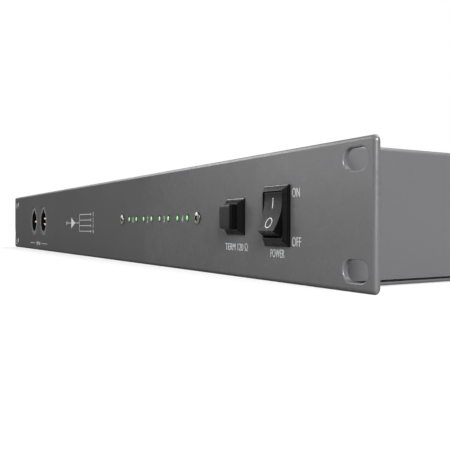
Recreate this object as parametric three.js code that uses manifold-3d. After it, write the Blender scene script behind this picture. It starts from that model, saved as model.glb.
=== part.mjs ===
// A one-unit rack splitter for lighting data: two inputs, lamps, a terminator button and a mains switch
// on the front panel, and four pairs of output sockets and a fused mains inlet on the back.
// Millimetres. +X is to the right seen from the front, +Y runs into the case, +Z is up.

import * as THREE from 'three';
import { mergeVertices } from 'three/addons/utils/BufferGeometryUtils.js';
import Module from 'manifold-3d';

const wasm = await Module();
wasm.setup();

// Front panel, 19 inch wide and one rack unit high
const panelWidth = 482.6;
const panelHeight = 44;
const panelThickness = 2;
const panelEdgeRound = 1;
const panelCornerRound = 2;
const earWidth = 19.3;
const slotWidth = 11;
const slotHeight = 6.5;
const slotFromEnd = 8.75;
const slotFromEdge = 6.125;
const slotChamfer = 0.5;

// Folded case behind the panel
const caseDepth = 150;
const caseLift = 0.3;
const caseDrop = 0.6;
const sheet = 1;
const trayBend = 0.8;
const coverBend = 1.5;
const seamGap = 0.5;
const fitGap = 0.3;
const flangeHeight = 14;

// Cover screws, one pair in each side behind the part that the rack hides
const coverScrewFront = 72;
const coverScrewRear = 20;
const coverScrewLift = 8;
const coverScrewHead = 5.6;
const coverScrewHeadHeight = 1.9;
const coverScrewLength = 6.5;
const clinchDiameter = 6;
const clinchHeight = 1.6;

// Threads, nuts and studs
const threadDiameter = 3;
const studLength = 7.5;
const studFromSide = 11;
const nutAcross = 5.5;
const nutSides = 6;
const nutHeight = 2.4;
const crossWidth = 1;
const crossLength = 3.1;
const crossDepth = 1.2;
const headCrownShares = [[0.65, 1], [1, 0.45]];

// Line of controls on the front panel
const controlLift = 22.2;
const rockerFromEnd = 48.5;
const buttonFromEnd = 76.9;
const lampRowFromEnd = 154;
const inputPairFromEnd = 90.5;
const inputSpacing = 30.6;

// Mains rocker switch
const rockerFrameWidth = 15;
const rockerFrameHeight = 20.4;
const rockerFrameLip = 0.6;
const rockerFrameRise = 2;
const rockerRimWidth = 12.7;
const rockerRimHeight = 17.2;
const rockerBodyWidth = 13;
const rockerBodyHeight = 19;
const rockerBodyDepth = 15;
const rockerMouthWidth = 11.6;
const rockerMouthHeight = 15.9;
const rockerMouthDepth = 8.4;
const rockerOffset = 0.5;
const rockerTiltDegrees = 13;
const paddleReach = 4.1;
const paddleHalf = 6.65;
const paddleDish = 1.05;
const paddleHeel = 0.9;
const paddleHeelHalf = 7.55;
const paddleWaist = 2;
const paddleWaistHalf = 6.8;
const paddleRoot = 5.2;
const paddleRootHalf = 3.2;
const paddleBevel = 0.35;
const pivotDepth = 0.5;
const pivotDiameter = 2.2;
const pivotLength = 0.6;
const bladeWidth = 4.8;
const bladeThickness = 0.8;
const bladeLength = 8;
const bladeSpacing = 9;
const snapReach = 0.9;
const snapLength = 5;
const snapWidth = 7;

// Square push button for the line terminator
const buttonFrame = 13.5;
const buttonFrameLip = 0.5;
const buttonFrameRise = 2.4;
const buttonRim = 9.6;
const buttonBody = 12;
const buttonBodyDepth = 18;
const buttonBladeSpacing = 6;
const buttonMouth = 8.6;
const buttonShoulder = 3;
const buttonWell = 10.4;
const buttonWellDepth = 12;
const buttonGuideDepth = 17;
const capSize = 8;
const capRound = 1.3;
const capRise = 5;
const capCrown = 0.4;
const capFlange = 9.6;
const capFlangeThickness = 1;
const capFlangeGap = 0.4;
const stemDiameter = 3.2;
const stemLength = 9;

// Row of lamps on their board
const lampCount = 8;
const lampPitch = 10;
const lampDiameter = 3;
const lampRim = 3.8;
const lampRimThickness = 1;
const lampRise = 0.8;
const lampSeat = 0.1;
const lampLegSize = 0.5;
const lampLegPitch = 2.54;
const lampBoardStand = 5;
const lampBoardHeight = 14;
const lampBoardMargin = 6;
const lampHeaderShift = 22.5;
const lampScrewHead = 5.4;
const lampScrewHeadHeight = 1.4;
const lampScrewLength = 11;
const spacerDiameter = 6;

// Circuit boards and what they carry
const boardThickness = 1.6;
const headerLength = 15;
const headerHeight = 6;
const headerDepth = 5;
const headerGap = 2;
const chipLength = 10;
const chipWidth = 7.4;
const chipHeight = 2.4;

// Round data inputs, mounted from behind the panel
const inputBarrel = 22;
const inputHoleGap = 0.2;
const inputRecess = 0.3;
const inputDepth = 22;
const inputBore = 16.2;
const inputLead = 0.6;
const inputFloor = 16;
const inputPlate = 27;
const inputPlateThickness = 2.2;
const inputPlateRound = 3;
const insertDiameter = 17.4;
const insertThickness = 3;
const latchNotchWidth = 4.4;
const latchNotchRise = 1.3;
const latchNotchDepth = 7;
const keyWidth = 2;
const keyRise = 0.9;
const keySetback = 4;
const pinDiameter = 2.4;
const pinSetback = 1.8;
const pinTipRise = 0.2;
const pinCircleThree = 8;
const pinCircleFive = 8.8;
const tailDiameter = 1.2;
const inputBoardMargin = 15;
const inputBoardHeight = 30;

// Output sockets with a release tab, four pairs across the back
const outputCount = 4;
const outputInletGap = 24;
const outputSpacing = 38;
const outputMargin = 26;
const flangeWidth = 26;
const flangeTall = 31;
const flangeThickness = 2.4;
const flangeRound = 2.4;
const flangeEdge = 0.5;
const socketBarrel = 23.2;
const socketHole = 24;
const socketDepth = 22;
const socketMouth = 19.4;
const socketCore = 15.8;
const socketGrooveDepth = 12;
const coreSetback = 0.6;
const contactHole = 3;
const contactHoleDepth = 10;
const flangeScrewSide = 9.5;
const flangeScrewRise = 12;
const flangeScrewHead = 4.8;
const flangeScrewHeight = 1.4;
const tabWidth = 9.4;
const tabBottom = 10.5;
const tabTop = 14.9;
const tabThickness = 1.2;
const tabProud = 0.5;
const tabPivotDrop = 0.7;
const tabPivotDiameter = 0.8;
const tabPivotLength = 0.5;
const tabPocketDepth = 1.8;
const hookWidth = 3;
const hookThickness = 0.7;
const hookReach = 5;
const hookDrop = 0.8;
const hookTip = 1.2;
const hookSlotGap = 0.6;

// Mains inlet with a fuse drawer under it
const inletFromSide = 42;
const inletFlangeWidth = 50;
const inletFlangeTall = 33;
const inletFlangeThickness = 2.5;
const inletFlangeRound = 4;
const inletBodyWidth = 28.6;
const inletBodyTall = 29;
const inletBodyDepth = 22;
const inletCupWidth = 24.6;
const inletCupTall = 16.6;
const inletCupCorner = 4.6;
const inletCupDepth = 15.5;
const inletWall = 1.4;
const inletScrewSpan = 40;
const inletBladeThickness = 2;
const inletBladeWidth = 4;
const inletBladeRound = 0.5;
const inletBladeSpan = 14;
const inletBladeStagger = 4;
const inletBladeSetback = 2;
const inletBladeTail = 6;
const drawerBayWidth = 23;
const drawerBayTall = 7.4;
const drawerBayDepth = 16;
const drawerGap = 0.3;
const drawerWall = 0.7;
const drawerFace = 1.6;
const drawerProud = 0.8;
const drawerGripDepth = 0.9;
const drawerGripTall = 2.2;
const fuseDiameter = 5;
const fuseLength = 20;
const fuseCapLength = 5;
const fuseCapExtra = 0.1;

// Mains supply board on posts above the tray
const supplyFromSide = 46;
const supplyWidth = 72;
const supplyFront = 38;
const supplyRearGap = 14;
const supplyMargin = 5;
const supplyPartGap = 0.5;
const canGap = 2;
const postDiameter = 6;
const postHeight = 5;
const terminalWidth = 8;
const terminalLength = 10;
const terminalHeight = 10;
const reservoirDiameter = 16;
const reservoirHeight = 25;
const coreWidth = 44;
const coreLength = 30;
const coreHeight = 26;
const coilWidth = 30;
const coilLength = 46;
const coilHeight = 22;
const coilRound = 5;

// Wires
const mainsLeadDiameter = 5;
const supplyLeadDiameter = 4;
const lowLeadDiameter = 3.4;
const leadBow = 9;
const leadStraight = 10;
const ribbonWidth = 12.7;
const ribbonThickness = 0.9;
const ribbonRunLift = 1;
const ribbonEnd = 6;
const ribbonFall = 26;

// Finish of round faces and of cuts
const overrun = 1;
const smallSegments = 8;
const lampSegments = 8;
const barrelSegments = 16;
const contactSegments = 6;
const fineSegments = 8;
const midSegments = 16;
const wideSegments = 20;
const leadSteps = 12;
const ribbonSteps = 20;
const cornerSteps = 3;
const edgeSteps = 3;
const trayBendSteps = 2;
const coverBendSteps = 3;
const faceSteps = 8;
const domeSteps = 3;

// Places that follow from the sizes above
const caseWidth = panelWidth - 2 * earWidth;
const caseSide = caseWidth / 2;
const wallFront = panelThickness;
const wallBack = wallFront + sheet;
const caseRear = panelThickness + caseDepth;
const floorTop = caseLift + sheet;
const coverTop = panelHeight - caseDrop;
const coverUnder = coverTop - sheet;
const coverInner = caseSide - sheet;
const trayFlangeOuter = coverInner - fitGap;
const trayFlangeInner = trayFlangeOuter - sheet;
const wallTop = coverUnder - fitGap;
const boreDiameter = threadDiameter + 2 * fitGap;
const rockerX = panelWidth / 2 - rockerFromEnd;
const buttonX = panelWidth / 2 - buttonFromEnd;
const lampRowX = panelWidth / 2 - lampRowFromEnd;
const lampScrewSpan = (lampCount + 1) * lampPitch;
const inputPairX = inputPairFromEnd - panelWidth / 2;
const inputX = [inputPairX - inputSpacing / 2, inputPairX + inputSpacing / 2];
const rockerZ = controlLift + rockerOffset;
const studX = caseSide - studFromSide;
const rearMiddle = (floorTop + wallTop) / 2;
const outputFirstX = outputMargin - caseSide;
const inletX = caseSide - inletFromSide;
const outputRowEnd = inletX - inletFlangeWidth / 2 - outputInletGap - flangeWidth / 2;
const outputPitch = (outputRowEnd - outputSpacing - outputFirstX) / (outputCount - 1);
const splitterBoardBack = caseRear - socketDepth;
const splitterBoardFront = splitterBoardBack - boardThickness;
const lampBoardFront = wallBack + lampBoardStand;
const lampBoardBack = lampBoardFront + boardThickness;
const inputBoardBack = inputDepth + boardThickness;
const supplyX = caseSide - supplyFromSide - supplyWidth / 2;
const supplyBack = splitterBoardFront - supplyRearGap;
const supplyLength = supplyBack - supplyFront;
const transformerX = supplyX + supplyWidth / 2 - terminalWidth - supplyPartGap - coreWidth / 2;
const supplyBoardUnder = floorTop + postHeight;
const supplyBoardTop = supplyBoardUnder + boardThickness;
const drawerZ = rearMiddle - inletBodyTall / 2 + inletWall + drawerBayTall / 2;
const inletCupZ = inletBodyTall / 2 - inletWall - inletCupTall / 2;

const group = new THREE.Group();

// Finishes

function finish(color, roughness, metalness) {
  return () => new THREE.MeshStandardMaterial({ color, roughness, metalness });
}

const panelPaint = finish(0x64666b, 0.55, 0.25);
const casePaint = finish(0x8a8c90, 0.5, 0.3);
const zincSteel = finish(0xb9bcc0, 0.35, 0.9);
const nickelPlate = finish(0xc9c8c2, 0.25, 1);
const blackPlastic = finish(0x17181a, 0.45, 0);
const socketPlastic = finish(0x1c1d20, 0.5, 0);
const lampGreen = finish(0x4fd94a, 0.25, 0);
const boardGreen = finish(0x1f5a3a, 0.5, 0);
const goldPlate = finish(0xc9a24a, 0.3, 0.9);
const glassAndCaps = finish(0xbfc4c2, 0.2, 0.3);
const coreSteel = finish(0x5c4a3a, 0.6, 0.3);
const leadSleeve = finish(0x2a2b2e, 0.6, 0);
const ribbonGrey = finish(0x9b9ea3, 0.6, 0);

// Outlines, each a closed list of points that runs anticlockwise

function rectangle(width, height, middleX = 0, middleY = 0) {
  const halfWidth = width / 2;
  const halfHeight = height / 2;
  return [
    new THREE.Vector2(middleX - halfWidth, middleY - halfHeight),
    new THREE.Vector2(middleX + halfWidth, middleY - halfHeight),
    new THREE.Vector2(middleX + halfWidth, middleY + halfHeight),
    new THREE.Vector2(middleX - halfWidth, middleY + halfHeight),
  ];
}

function circle(diameter, segments, middleX = 0, middleY = 0) {
  const outline = [];
  for (let step = 0; step < segments; step += 1) {
    const angle = (2 * Math.PI * step) / segments;
    const x = middleX + (diameter / 2) * Math.cos(angle);
    const y = middleY + (diameter / 2) * Math.sin(angle);
    outline.push(new THREE.Vector2(x, y));
  }
  return outline;
}

function roundedRectangle(width, height, radius, middleX = 0, middleY = 0, steps = cornerSteps) {
  const signs = [[1, -1], [1, 1], [-1, 1], [-1, -1]];
  const outline = [];
  signs.forEach(([signX, signY], corner) => {
    for (let step = 0; step <= steps; step += 1) {
      const angle = (Math.PI / 2) * (corner - 1 + step / steps);
      const x = middleX + signX * (width / 2 - radius) + radius * Math.cos(angle);
      const y = middleY + signY * (height / 2 - radius) + radius * Math.sin(angle);
      outline.push(new THREE.Vector2(x, y));
    }
  });
  return outline;
}

// Solids

function solidFrom(geometry) {
  geometry.deleteAttribute('normal');
  geometry.deleteAttribute('uv');
  const merged = mergeVertices(geometry);
  const corners = merged.index.array;
  const kept = [];
  for (let start = 0; start < corners.length; start += 3) {
    const [a, b, c] = corners.slice(start, start + 3);
    if (a !== b && b !== c && c !== a) {
      kept.push(a, b, c);
    }
  }
  const vertProperties = Float32Array.from(merged.attributes.position.array);
  const triVerts = Uint32Array.from(kept);
  return new wasm.Manifold(new wasm.Mesh({ numProp: 3, vertProperties, triVerts }));
}

function join(first, ...others) {
  return others.reduce((whole, next) => whole.add(next), first);
}

function cut(first, ...others) {
  return others.reduce((whole, next) => whole.subtract(next), first);
}

const turnToDepth = new THREE.Matrix4().set(1, 0, 0, 0, 0, 0, -1, 0, 0, 1, 0, 0, 0, 0, 0, 1);
const turnToSide = new THREE.Matrix4().set(0, 0, 1, 0, 1, 0, 0, 0, 0, 1, 0, 0, 0, 0, 0, 1);
const axisToSide = new THREE.Matrix4().set(0, 1, 0, 0, 0, 0, 1, 0, 1, 0, 0, 0, 0, 0, 0, 1);

function extruded(outline, length) {
  const options = { depth: length, bevelEnabled: false };
  return new THREE.ExtrudeGeometry(new THREE.Shape(outline), options);
}

// An outline in (x, z), pushed from y = front to y = back.
function alongDepth(outline, front, back) {
  const geometry = extruded(outline, back - front);
  geometry.applyMatrix4(turnToDepth);
  geometry.translate(0, back, 0);
  return solidFrom(geometry);
}

// An outline in (y, z), pushed from x = left to x = right.
function alongSide(outline, left, right) {
  const geometry = extruded(outline, right - left);
  geometry.applyMatrix4(turnToSide);
  geometry.translate(left, 0, 0);
  return solidFrom(geometry);
}

// An outline in (x, y), pushed from z = bottom to z = top.
function upward(outline, bottom, top) {
  const geometry = extruded(outline, top - bottom);
  geometry.translate(0, 0, bottom);
  return solidFrom(geometry);
}

// A profile of [radius, y] pairs turned about the Y axis.
function turned(profile, segments) {
  const points = profile.map(([radius, y]) => new THREE.Vector2(radius, y));
  return solidFrom(new THREE.LatheGeometry(points, segments));
}

// The same, turned about the X axis.
function turnedAcross(profile, segments) {
  const points = profile.map(([radius, y]) => new THREE.Vector2(radius, y));
  const geometry = new THREE.LatheGeometry(points, segments);
  geometry.applyMatrix4(axisToSide);
  return solidFrom(geometry);
}

// Faces from ring to ring, each ring an outline in (x, z) at its own y, from front to back.
function lofted(rings) {
  const count = rings[0].outline.length;
  const positions = [];
  const corners = [];
  rings.forEach(({ outline, y }) => {
    outline.forEach((point) => positions.push(point.x, y, point.y));
  });
  const last = rings.length - 1;
  for (let layer = 0; layer < last; layer += 1) {
    for (let step = 0; step < count; step += 1) {
      const here = layer * count + step;
      const next = layer * count + ((step + 1) % count);
      corners.push(here, here + count, next, next, here + count, next + count);
    }
  }
  for (let step = 1; step < count - 1; step += 1) {
    corners.push(0, step, step + 1);
    corners.push(last * count, last * count + step + 1, last * count + step);
  }
  const geometry = new THREE.BufferGeometry();
  geometry.setAttribute('position', new THREE.Float32BufferAttribute(positions, 3));
  geometry.setIndex(corners);
  return solidFrom(geometry);
}

function placed(solid, x, y, z) {
  return solid.translate([x, y, z]);
}

function addPiece(name, material, solid, x = 0, y = 0, z = 0) {
  const { vertProperties, triVerts } = solid.getMesh();
  const geometry = new THREE.BufferGeometry();
  geometry.setAttribute('position', new THREE.BufferAttribute(Float32Array.from(vertProperties), 3));
  geometry.setIndex(Array.from(triVerts));
  geometry.computeVertexNormals();
  const mesh = new THREE.Mesh(geometry, material());
  mesh.name = name;
  mesh.position.set(x, y, z);
  group.add(mesh);
}

function lampX(index) {
  return lampRowX + (index - (lampCount - 1) / 2) * lampPitch;
}

function outputX(output, isFivePin) {
  return outputFirstX + output * outputPitch + (isFivePin ? outputSpacing : 0);
}

// Screws and nuts

// A pan head with a cross recess at y = 0 and a shank towards +Y.
function crossScrew(headDiameter, headHeight, shankLength) {
  const headRadius = headDiameter / 2;
  const crown = headCrownShares.map(([across, up]) => [headRadius * across, -headHeight * up]);
  const profile = [
    [0, -headHeight],
    ...crown,
    [headRadius, 0],
    [threadDiameter / 2, 0],
    [threadDiameter / 2, shankLength],
    [0, shankLength],
  ];
  const recessBack = crossDepth - headHeight;
  const recessFront = -headHeight - overrun;
  const flat = alongDepth(rectangle(crossLength, crossWidth), recessFront, recessBack);
  const upright = alongDepth(rectangle(crossWidth, crossLength), recessFront, recessBack);
  return cut(turned(profile, fineSegments), flat, upright);
}

function hexNut() {
  const corners = circle(nutAcross / Math.cos(Math.PI / nutSides), nutSides);
  const bore = circle(boreDiameter, fineSegments);
  const blank = alongDepth(corners, 0, nutHeight);
  return cut(blank, alongDepth(bore, -overrun, nutHeight + overrun));
}

// Front panel

function slotCut(x, z) {
  const radius = slotHeight / 2;
  const outline = roundedRectangle(slotWidth, slotHeight, radius, x, z);
  const wide = slotWidth + 2 * slotChamfer;
  const tall = slotHeight + 2 * slotChamfer;
  const flared = roundedRectangle(wide, tall, radius + slotChamfer, x, z);
  const through = alongDepth(outline, -overrun, panelThickness + overrun);
  const flare = lofted([{ outline: flared, y: 0 }, { outline, y: slotChamfer }]);
  const lead = alongDepth(flared, -overrun, 0);
  return join(through, flare, lead);
}

function roundCut(diameter, x, z, front, back, segments = fineSegments) {
  return alongDepth(circle(diameter, segments, x, z), front, back);
}

// Every hole that the panel and the case's front wall share, cut from front to back.
function controlCuts(front, back) {
  const rocker = rectangle(rockerBodyWidth + fitGap, rockerBodyHeight + fitGap, rockerX, controlLift);
  const button = rectangle(buttonBody + fitGap, buttonBody + fitGap, buttonX, controlLift);
  const cuts = [alongDepth(rocker, front, back), alongDepth(button, front, back)];
  for (const side of [-1, 1]) {
    const x = lampRowX + (side * lampScrewSpan) / 2;
    cuts.push(roundCut(boreDiameter, x, controlLift, front, back));
  }
  for (const x of inputX) {
    const diameter = inputBarrel + 2 * inputHoleGap;
    cuts.push(roundCut(diameter, x, controlLift, front, back, wideSegments));
  }
  return cuts;
}

// One hole for each lamp in the panel.
function lampHoles() {
  const holes = [];
  for (let index = 0; index < lampCount; index += 1) {
    const diameter = lampDiameter + fitGap;
    const back = panelThickness + overrun;
    holes.push(roundCut(diameter, lampX(index), controlLift, -overrun, back));
  }
  return holes;
}

// One window for the whole row of lamps in the wall behind the panel.
function lampWindow(front, back) {
  const width = lampCount * lampPitch;
  return alongDepth(rectangle(width, 2 * lampRim, lampRowX, controlLift), front, back);
}

function frontPanel() {
  const rings = [];
  for (let layer = 0; layer <= edgeSteps; layer += 1) {
    const angle = (Math.PI / 2) * (layer / edgeSteps);
    const inset = panelEdgeRound * (1 - Math.sin(angle));
    const y = panelEdgeRound * (1 - Math.cos(angle));
    const wide = panelWidth - 2 * inset;
    const tall = panelHeight - 2 * inset;
    const radius = panelCornerRound - inset;
    rings.push({ outline: roundedRectangle(wide, tall, radius, 0, panelHeight / 2), y });
  }
  const outer = roundedRectangle(panelWidth, panelHeight, panelCornerRound, 0, panelHeight / 2);
  rings.push({ outline: outer, y: panelThickness });
  const slots = [];
  for (const side of [-1, 1]) {
    const x = side * (panelWidth / 2 - slotFromEnd);
    slots.push(slotCut(x, slotFromEdge), slotCut(x, panelHeight - slotFromEdge));
  }
  const cuts = controlCuts(-overrun, panelThickness + overrun);
  const plate = cut(lofted(rings), ...slots, ...cuts, ...lampHoles());
  const stud = alongDepth(circle(threadDiameter, fineSegments), 0, panelThickness + studLength);
  const studs = [-studX, studX].map((x) => {
    const foot = panelThickness - panelEdgeRound;
    return placed(stud, x, 0, controlLift).subtract(frontHalf(foot));
  });
  return join(plate, ...studs);
}

// Everything in front of a depth, to trim a stud's foot inside the plate.
function frontHalf(depth) {
  return alongDepth(rectangle(panelWidth, 2 * panelHeight), -overrun, depth);
}

// Base tray

function trayFloor() {
  const shape = new THREE.Shape();
  const low = caseLift;
  shape.moveTo(-caseSide + trayBend, low);
  shape.lineTo(caseSide - trayBend, low);
  shape.absarc(caseSide - trayBend, low + trayBend, trayBend, -Math.PI / 2, 0, false);
  shape.lineTo(caseSide, floorTop);
  shape.lineTo(trayFlangeOuter, floorTop);
  shape.lineTo(trayFlangeOuter, floorTop + flangeHeight);
  shape.lineTo(trayFlangeInner, floorTop + flangeHeight);
  shape.lineTo(trayFlangeInner, floorTop);
  shape.lineTo(-trayFlangeInner, floorTop);
  shape.lineTo(-trayFlangeInner, floorTop + flangeHeight);
  shape.lineTo(-trayFlangeOuter, floorTop + flangeHeight);
  shape.lineTo(-trayFlangeOuter, floorTop);
  shape.lineTo(-caseSide, floorTop);
  shape.lineTo(-caseSide, low + trayBend);
  shape.absarc(-caseSide + trayBend, low + trayBend, trayBend, Math.PI, 1.5 * Math.PI, false);
  return alongDepth(shape.getPoints(trayBendSteps), wallFront, caseRear);
}

function trayWall(front, back) {
  const height = wallTop - caseLift;
  const middle = (wallTop + caseLift) / 2;
  return alongDepth(rectangle(2 * trayFlangeOuter, height, 0, middle), front, back);
}

function rearCuts() {
  const front = caseRear - sheet - overrun;
  const back = caseRear + overrun;
  const cuts = [];
  for (let output = 0; output < outputCount; output += 1) {
    for (const isFivePin of [false, true]) {
      const x = outputX(output, isFivePin);
      cuts.push(roundCut(socketHole, x, rearMiddle, front, back, barrelSegments));
    }
  }
  const wide = inletBodyWidth + fitGap;
  const tall = inletBodyTall + fitGap;
  cuts.push(alongDepth(rectangle(wide, tall, inletX, rearMiddle), front, back));
  return cuts;
}

// The places of the four cover screws: side sign and depth.
function coverScrewPlaces() {
  const front = wallFront + coverScrewFront;
  const rear = caseRear - coverScrewRear;
  return [[-1, front], [-1, rear], [1, front], [1, rear]];
}

function screwBore(side, depth) {
  const outline = circle(boreDiameter, fineSegments, depth, floorTop + coverScrewLift);
  const inner = side * (trayFlangeInner - clinchHeight - overrun);
  const outer = side * (caseSide + overrun);
  return alongSide(outline, Math.min(inner, outer), Math.max(inner, outer));
}

function clinchNut(side, depth) {
  const outline = circle(clinchDiameter, fineSegments, depth, floorTop + coverScrewLift);
  const inner = side * (trayFlangeInner - clinchHeight);
  const outer = side * (trayFlangeOuter - sheet / 2);
  return alongSide(outline, Math.min(inner, outer), Math.max(inner, outer));
}

function supplyPosts() {
  const posts = [];
  for (const side of [-1, 1]) {
    for (const end of [-1, 1]) {
      const x = supplyX + side * (supplyWidth / 2 - supplyMargin);
      const y = supplyFront + supplyLength / 2 + end * (supplyLength / 2 - supplyMargin);
      posts.push(upward(circle(postDiameter, fineSegments, x, y), floorTop - sheet / 2, supplyBoardUnder));
    }
  }
  return posts;
}

function baseTray() {
  const places = coverScrewPlaces();
  const nuts = places.map(([side, depth]) => clinchNut(side, depth));
  const bores = places.map(([side, depth]) => screwBore(side, depth));
  const folded = join(
    trayFloor(),
    trayWall(wallFront, wallBack),
    trayWall(caseRear - sheet, caseRear),
    ...nuts,
    ...supplyPosts(),
  );
  const front = wallFront - overrun;
  const back = wallBack + overrun;
  const studCuts = [-studX, studX].map((x) => roundCut(boreDiameter, x, controlLift, front, back));
  const window = lampWindow(front, back);
  return cut(folded, ...bores, ...studCuts, ...controlCuts(front, back), window, ...rearCuts());
}

// Folded cover

function topCover() {
  const inner = coverBend - sheet;
  const low = floorTop + seamGap;
  const shape = new THREE.Shape();
  shape.moveTo(caseSide - sheet, low);
  shape.lineTo(caseSide, low);
  shape.absarc(caseSide - coverBend, coverTop - coverBend, coverBend, 0, Math.PI / 2, false);
  shape.absarc(coverBend - caseSide, coverTop - coverBend, coverBend, Math.PI / 2, Math.PI, false);
  shape.lineTo(-caseSide, low);
  shape.lineTo(sheet - caseSide, low);
  shape.absarc(coverBend - caseSide, coverTop - coverBend, inner, Math.PI, Math.PI / 2, true);
  shape.absarc(caseSide - coverBend, coverTop - coverBend, inner, Math.PI / 2, 0, true);
  const folded = alongDepth(shape.getPoints(coverBendSteps), wallFront, caseRear);
  return cut(folded, ...coverScrewPlaces().map(([side, depth]) => screwBore(side, depth)));
}

// Mains rocker switch

// A snap barb on each side of a body, behind the case's front wall.
function snapBarbs(bodyWidth) {
  const half = bodyWidth / 2;
  const front = wallBack + fitGap;
  const wedge = [
    new THREE.Vector2(half - sheet, front),
    new THREE.Vector2(half + snapReach, front),
    new THREE.Vector2(half, front + snapLength),
    new THREE.Vector2(half - sheet, front + snapLength),
  ];
  const mirrored = wedge.map((point) => new THREE.Vector2(-point.x, point.y)).reverse();
  return [upward(wedge, -snapWidth / 2, snapWidth / 2), upward(mirrored, -snapWidth / 2, snapWidth / 2)];
}

function rockerHousing() {
  const bezel = lofted([
    { outline: roundedRectangle(rockerRimWidth, rockerRimHeight, rockerFrameLip), y: -rockerFrameRise },
    { outline: roundedRectangle(rockerFrameWidth, rockerFrameHeight, rockerFrameLip), y: -rockerFrameLip },
    { outline: roundedRectangle(rockerFrameWidth, rockerFrameHeight, rockerFrameLip), y: 0 },
  ]);
  const body = alongDepth(rectangle(rockerBodyWidth, rockerBodyHeight), -rockerFrameLip, rockerBodyDepth);
  const mouth = roundedRectangle(rockerMouthWidth, rockerMouthHeight, rockerFrameLip, 0, rockerOffset);
  const well = alongDepth(mouth, -rockerFrameRise - overrun, rockerMouthDepth);
  const pocket = circle(pivotDiameter + 2 * fitGap, fineSegments, pivotDepth, rockerOffset);
  const pocketReach = rockerMouthWidth / 2 + pivotLength;
  const blades = [-1, 1].map((side) => {
    const outline = rectangle(bladeWidth, bladeThickness, 0, (side * bladeSpacing) / 2);
    return alongDepth(outline, rockerBodyDepth - overrun, rockerBodyDepth + bladeLength);
  });
  const whole = join(bezel, body, ...snapBarbs(rockerBodyWidth), ...blades);
  return cut(whole, well, alongSide(pocket, -pocketReach, pocketReach));
}

// The paddle's side view about its pivot, with its face to -Y, level between its two positions.
function paddleOutline() {
  const face = new THREE.QuadraticBezierCurve(
    new THREE.Vector2(-paddleReach, paddleHalf),
    new THREE.Vector2(2 * paddleDish - paddleReach, 0),
    new THREE.Vector2(-paddleReach, -paddleHalf),
  );
  const below = [
    new THREE.Vector2(-paddleHeel, -paddleHeelHalf),
    new THREE.Vector2(paddleWaist, -paddleWaistHalf),
    new THREE.Vector2(paddleRoot, -paddleRootHalf),
  ];
  const above = below.map((point) => new THREE.Vector2(point.x, -point.y)).reverse();
  return [...face.getPoints(faceSteps), ...below, ...above];
}

function rockerPaddle() {
  const half = rockerMouthWidth / 2 - fitGap;
  const shape = new THREE.Shape(paddleOutline());
  const options = {
    depth: 2 * (half - paddleBevel),
    bevelThickness: paddleBevel,
    bevelSize: paddleBevel,
    bevelOffset: -paddleBevel,
    bevelSegments: 2,
  };
  const geometry = new THREE.ExtrudeGeometry(shape, options);
  geometry.applyMatrix4(turnToSide);
  geometry.translate(paddleBevel - half, 0, 0);
  const pinReach = half + pivotLength;
  const pin = alongSide(circle(pivotDiameter, fineSegments), -pinReach, pinReach);
  return join(solidFrom(geometry), pin).rotate([-rockerTiltDegrees, 0, 0]);
}

// Terminator push button

function buttonHousing() {
  const round = buttonFrameLip;
  const bezel = lofted([
    { outline: roundedRectangle(buttonRim, buttonRim, round), y: -buttonFrameRise },
    { outline: roundedRectangle(buttonFrame, buttonFrame, round), y: -buttonFrameLip },
    { outline: roundedRectangle(buttonFrame, buttonFrame, round), y: 0 },
  ]);
  const body = alongDepth(rectangle(buttonBody, buttonBody), -buttonFrameLip, buttonBodyDepth);
  const mouth = roundedRectangle(buttonMouth, buttonMouth, capRound);
  const blades = [-1, 1].map((side) => {
    const outline = rectangle(bladeWidth, bladeThickness, 0, (side * buttonBladeSpacing) / 2);
    return alongDepth(outline, buttonBodyDepth - overrun, buttonBodyDepth + bladeLength / 2);
  });
  return cut(
    join(bezel, body, ...snapBarbs(buttonBody), ...blades),
    alongDepth(mouth, -buttonFrameRise - overrun, buttonShoulder + overrun),
    alongDepth(rectangle(buttonWell, buttonWell), buttonShoulder, buttonWellDepth),
    roundCut(stemDiameter + 2 * fitGap, 0, 0, buttonShoulder, buttonGuideDepth),
  );
}

function buttonCap() {
  const crown = capSize - 2 * capCrown;
  const flangeFront = buttonShoulder + capFlangeGap;
  const flangeBack = flangeFront + capFlangeThickness;
  const block = lofted([
    { outline: roundedRectangle(crown - capCrown, crown - capCrown, capRound), y: -capRise },
    { outline: roundedRectangle(crown + capCrown, crown + capCrown, capRound), y: capCrown / 2 - capRise },
    { outline: roundedRectangle(capSize, capSize, capRound), y: 2 * capCrown - capRise },
    { outline: roundedRectangle(capSize, capSize, capRound), y: flangeFront },
  ]);
  const flange = alongDepth(rectangle(capFlange, capFlange), flangeFront, flangeBack);
  const stem = alongDepth(circle(stemDiameter, fineSegments), flangeBack, flangeBack + stemLength);
  return join(block, flange, stem);
}

// Lamps and their board

function lamp() {
  const radius = lampDiameter / 2;
  const rimFront = wallBack + lampSeat;
  const rimBack = rimFront + lampRimThickness;
  const profile = [];
  for (let step = 0; step <= domeSteps; step += 1) {
    const angle = (Math.PI / 2) * (step / domeSteps);
    profile.push([radius * Math.sin(angle), radius * (1 - Math.cos(angle)) - lampRise]);
  }
  profile.push([radius, rimFront], [lampRim / 2, rimFront], [lampRim / 2, rimBack], [0, rimBack]);
  const legs = [-1, 1].map((side) => {
    const outline = rectangle(lampLegSize, lampLegSize, (side * lampLegPitch) / 2, 0);
    return alongDepth(outline, rimBack - lampRimThickness / 2, lampBoardFront);
  });
  return join(turned(profile, lampSegments), ...legs);
}

function header(x, z, front, back) {
  return alongDepth(rectangle(headerLength, headerHeight, x, z), front, back);
}

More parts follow.
